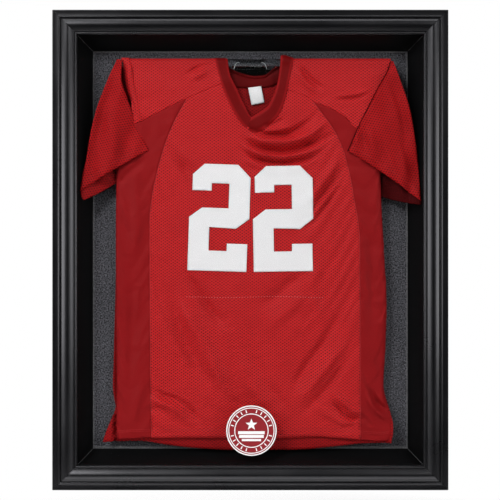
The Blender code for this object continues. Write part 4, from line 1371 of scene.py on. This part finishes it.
def settle(obj, reach):
    """Lets a sewn panel with a little spare cloth relax between fixed edges, each point by reach at most."""
    spare, frames, stiffness = 0.012, 12, 18.0
    columns, rows = obj["edge"]
    start = np.array([v.co for v in obj.data.vertices], float)
    index = np.arange(len(start)).reshape(rows, columns)
    edge = np.unique(np.concatenate([index[0], index[1], index[-2], index[-1], index[:, 0], index[:, -1]]))
    group = obj.vertex_groups.new(name="sewn")
    group.add([int(i) for i in edge], 1.0, "REPLACE")
    cloth = obj.modifiers.new("cloth", "CLOTH")
    cloth.settings.quality = 5
    cloth.settings.mass = 0.12
    cloth.settings.tension_stiffness = stiffness
    cloth.settings.compression_stiffness = stiffness
    cloth.settings.shear_stiffness = 6.0
    cloth.settings.bending_stiffness = 0.35
    cloth.settings.vertex_group_mass = "sewn"
    cloth.settings.shrink_min = -spare
    cloth.settings.effector_weights.gravity = 0.6
    cloth.point_cache.frame_start = 1
    cloth.point_cache.frame_end = frames
    scene = bpy.context.scene
    for number in range(1, frames + 1):
        scene.frame_set(number)
    graph = bpy.context.evaluated_depsgraph_get()
    shape = obj.evaluated_get(graph).to_mesh()
    moved = np.array([v.co for v in shape.vertices], float)
    obj.modifiers.remove(cloth)
    obj.vertex_groups.remove(group)
    scene.frame_set(1)
    shift = moved - start
    length = np.linalg.norm(shift, axis=1)
    limit = reach * MM
    shift *= (limit * np.tanh(length / limit) / np.maximum(length, 1e-12))[:, None]
    obj.data.vertices.foreach_set("co", (start + shift).astype(np.float32).ravel())
    obj.data.update()


def build_jersey():
    """Every panel of the jersey, sewn, with the front's panels settled."""
    back = build_back()
    centre, left, right, *yokes = build_front()
    sleeves = {side: build_sleeve(side) for side in ("left", "right")}
    pleat = build_pleat()
    collar = build_collar()
    label = build_label()
    settle(centre, 2.2)
    settle(left, 1.5)
    settle(right, 1.5)
    front = Surface(centre, left, right)
    on_front = build_numerals(front)
    x = np.linspace(-293.0, 306.0, 260)
    for k, drop in enumerate(HEM_ROWS):
        line = np.stack([x, FRONT_HEM(x) + drop], axis=-1)
        on_front.append(stitches("hem_stitches_%d" % (k + 1), line, front, RED_THREAD))
    x = np.linspace(-144.0, 165.0, 160)
    tack = np.stack([x, -104.0 + 1.2 * np.sin(x / 37.0)], axis=-1)
    on_front.append(stitches("tack_stitches", tack, front, PINK_THREAD, TACK_SEWING, 0.5))
    for side, seam, seam_top in (("left", LEFT_SEAM, 334.0), ("right", RIGHT_SEAM, 326.0)):
        z = np.linspace(-414.0, seam_top, 300)
        line = [(a, -(front.depth(a, b) - 0.25), b) for a, b in zip(seam(z), z)]
        cord_along("jersey_seam_" + side, line, 0.8, RED_THREAD, "rod_and_jersey")
    for side in ("left", "right"):
        cloth = sleeves[side][0]
        columns = cloth["edge"][0]
        grid = [v.co / MM for v in cloth.data.vertices]
        line = [(p.x, p.z) for p in grid[7 * columns + 1 : 8 * columns - 1]]
        on_front.append(stitches("sleeve_stitches_" + side, line, Surface(cloth), RED_THREAD))
    # A painted shadow: a dark cord down the right sleeve's inner edge, along the first column of that
    # sleeve's grid.
    under = Surface(centre, right, yokes[1])
    line = [(p.x - 0.8, -(under.depth(p.x - 0.8, p.z, -p.y) + 0.4), p.z) for p in grid[::columns]]
    cord_along("armhole_painted_shadow_right", line, 1.2, PAINTED_SHADE_MESH, "rod_and_jersey")
    thicken(centre)
    thicken(left)
    thicken(right)
    for made in yokes:
        thicken(made)
    thicken(back)
    for side in ("left", "right"):
        thicken(sleeves[side][0])
        thicken(sleeves[side][1])
    thicken(pleat)
    for made in collar[:2]:
        thicken(made, COLLAR_THICKNESS)
    thicken(collar[2], COLLAR_THICKNESS)
    apply_modifiers(collar[2])
    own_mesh(collar[2])
    thicken(label, LABEL_THICKNESS)


# Stage, lights and camera


def build_floor():
    """A round pale floor whose edge fades away."""
    mesh = bpy.data.meshes.new("floor")
    rim = [(x, y, FLOOR_HEIGHT) for x, y in circle(FLOOR_RADIUS)]
    mesh.from_pydata(rim, [], [tuple(range(len(rim)))])
    floor = bpy.data.objects.new("floor", mesh)
    bpy.context.scene.collection.objects.link(floor)
    paint = Paint("pale floor", Roughness=0.8)
    here = paint.place()
    paint.colour(paint.mix(paint.noise(here, 2.5, 4.0), rgb(0.80, 0.80, 0.80), rgb(0.84, 0.84, 0.84)))
    split = paint.axes(here)
    squares = [paint.maths("POWER", split[k], 2.0) for k in (0, 1)]
    away = paint.maths("SQRT", paint.maths("ADD", *squares))
    paint.feed(paint.shader.inputs["Alpha"], paint.spread(away, 0.5, FLOOR_RADIUS - 0.05, 1.0, 0.0))
    mesh.materials.append(paint.material)


def build_world():
    """A pale studio, brighter behind the case than in front of it, and plain white where it is seen."""
    world = bpy.data.worlds.new("studio")
    bpy.context.scene.world = world
    world.use_nodes = True
    tree = world.node_tree
    background = next(n for n in tree.nodes if n.type == "BACKGROUND")
    place = tree.nodes.new("ShaderNodeTexCoord")
    split = tree.nodes.new("ShaderNodeSeparateXYZ")
    tree.links.new(place.outputs["Generated"], split.inputs[0])
    ramp = tree.nodes.new("ShaderNodeMapRange")
    ramp.interpolation_type = "SMOOTHSTEP"
    for name, value in (("From Min", -0.40), ("From Max", 0.40), ("To Min", 0.01), ("To Max", 0.25)):
        ramp.inputs[name].default_value = value
    tree.links.new(split.outputs[1], ramp.inputs["Value"])
    seen = tree.nodes.new("ShaderNodeLightPath")
    white = tree.nodes.new("ShaderNodeMath")
    white.operation = "MAXIMUM"
    tree.links.new(ramp.outputs[0], white.inputs[0])
    tree.links.new(seen.outputs["Is Camera Ray"], white.inputs[1])
    tree.links.new(white.outputs[0], background.inputs["Strength"])
    background.inputs["Color"].default_value = (1.0, 1.0, 1.0, 1.0)


def build_lights():
    """Softboxes, each with its place, width, height and watts, all facing the middle of the case."""
    for name, place, width, height, power in (
        ("left softbox", (-1.85, -1.05, 0.10), 1.7, 1.0, 23.0),
        ("right softbox", (1.90, -1.05, 0.10), 1.7, 1.0, 20.0),
        ("front left softbox", (-1.55, -2.45, 1.95), 0.9, 0.9, 66.0),
        ("front right softbox", (1.8, -2.45, 1.8), 0.9, 0.9, 25.0),
        ("overhead softbox", (0.0, -0.75, 1.9), 1.7, 0.5, 9.0),
        ("low softbox", (0.0, -0.46, -0.78), 1.4, 0.2, 1.3),
        ("rear softbox", (-0.9, 2.6, 1.3), 1.6, 1.2, 60.0),
    ):
        light = bpy.data.lights.new(name, "AREA")
        light.shape, light.size, light.size_y, light.energy = "RECTANGLE", width, height, power
        obj = bpy.data.objects.new(name, light)
        obj.location = place
        obj.rotation_euler = (-Vector(place)).to_track_quat("-Z", "Y").to_euler()
        obj.visible_camera = False
        bpy.context.scene.collection.objects.link(obj)


def build_camera():
    """Straight on, level with the middle of the case."""
    distance, view_width, aside = 2.6, 1.0868, -0.0007
    data = bpy.data.cameras.new("camera")
    data.sensor_width = 36.0
    data.lens = data.sensor_width * distance / view_width
    data.clip_end = 60.0
    camera = bpy.data.objects.new("camera", data)
    camera.location = (aside, -CASE_FRONT * MM - distance, 0.0)
    camera.rotation_euler = (math.radians(90.0), 0.0, 0.0)
    bpy.context.scene.collection.objects.link(camera)
    bpy.context.scene.camera = camera
    bpy.context.scene.view_settings.view_transform = "Standard"


build_camera()
build_floor()
build_world()
build_lights()
build_case()
build_door()
build_hardware()
build_rod()
build_jersey()
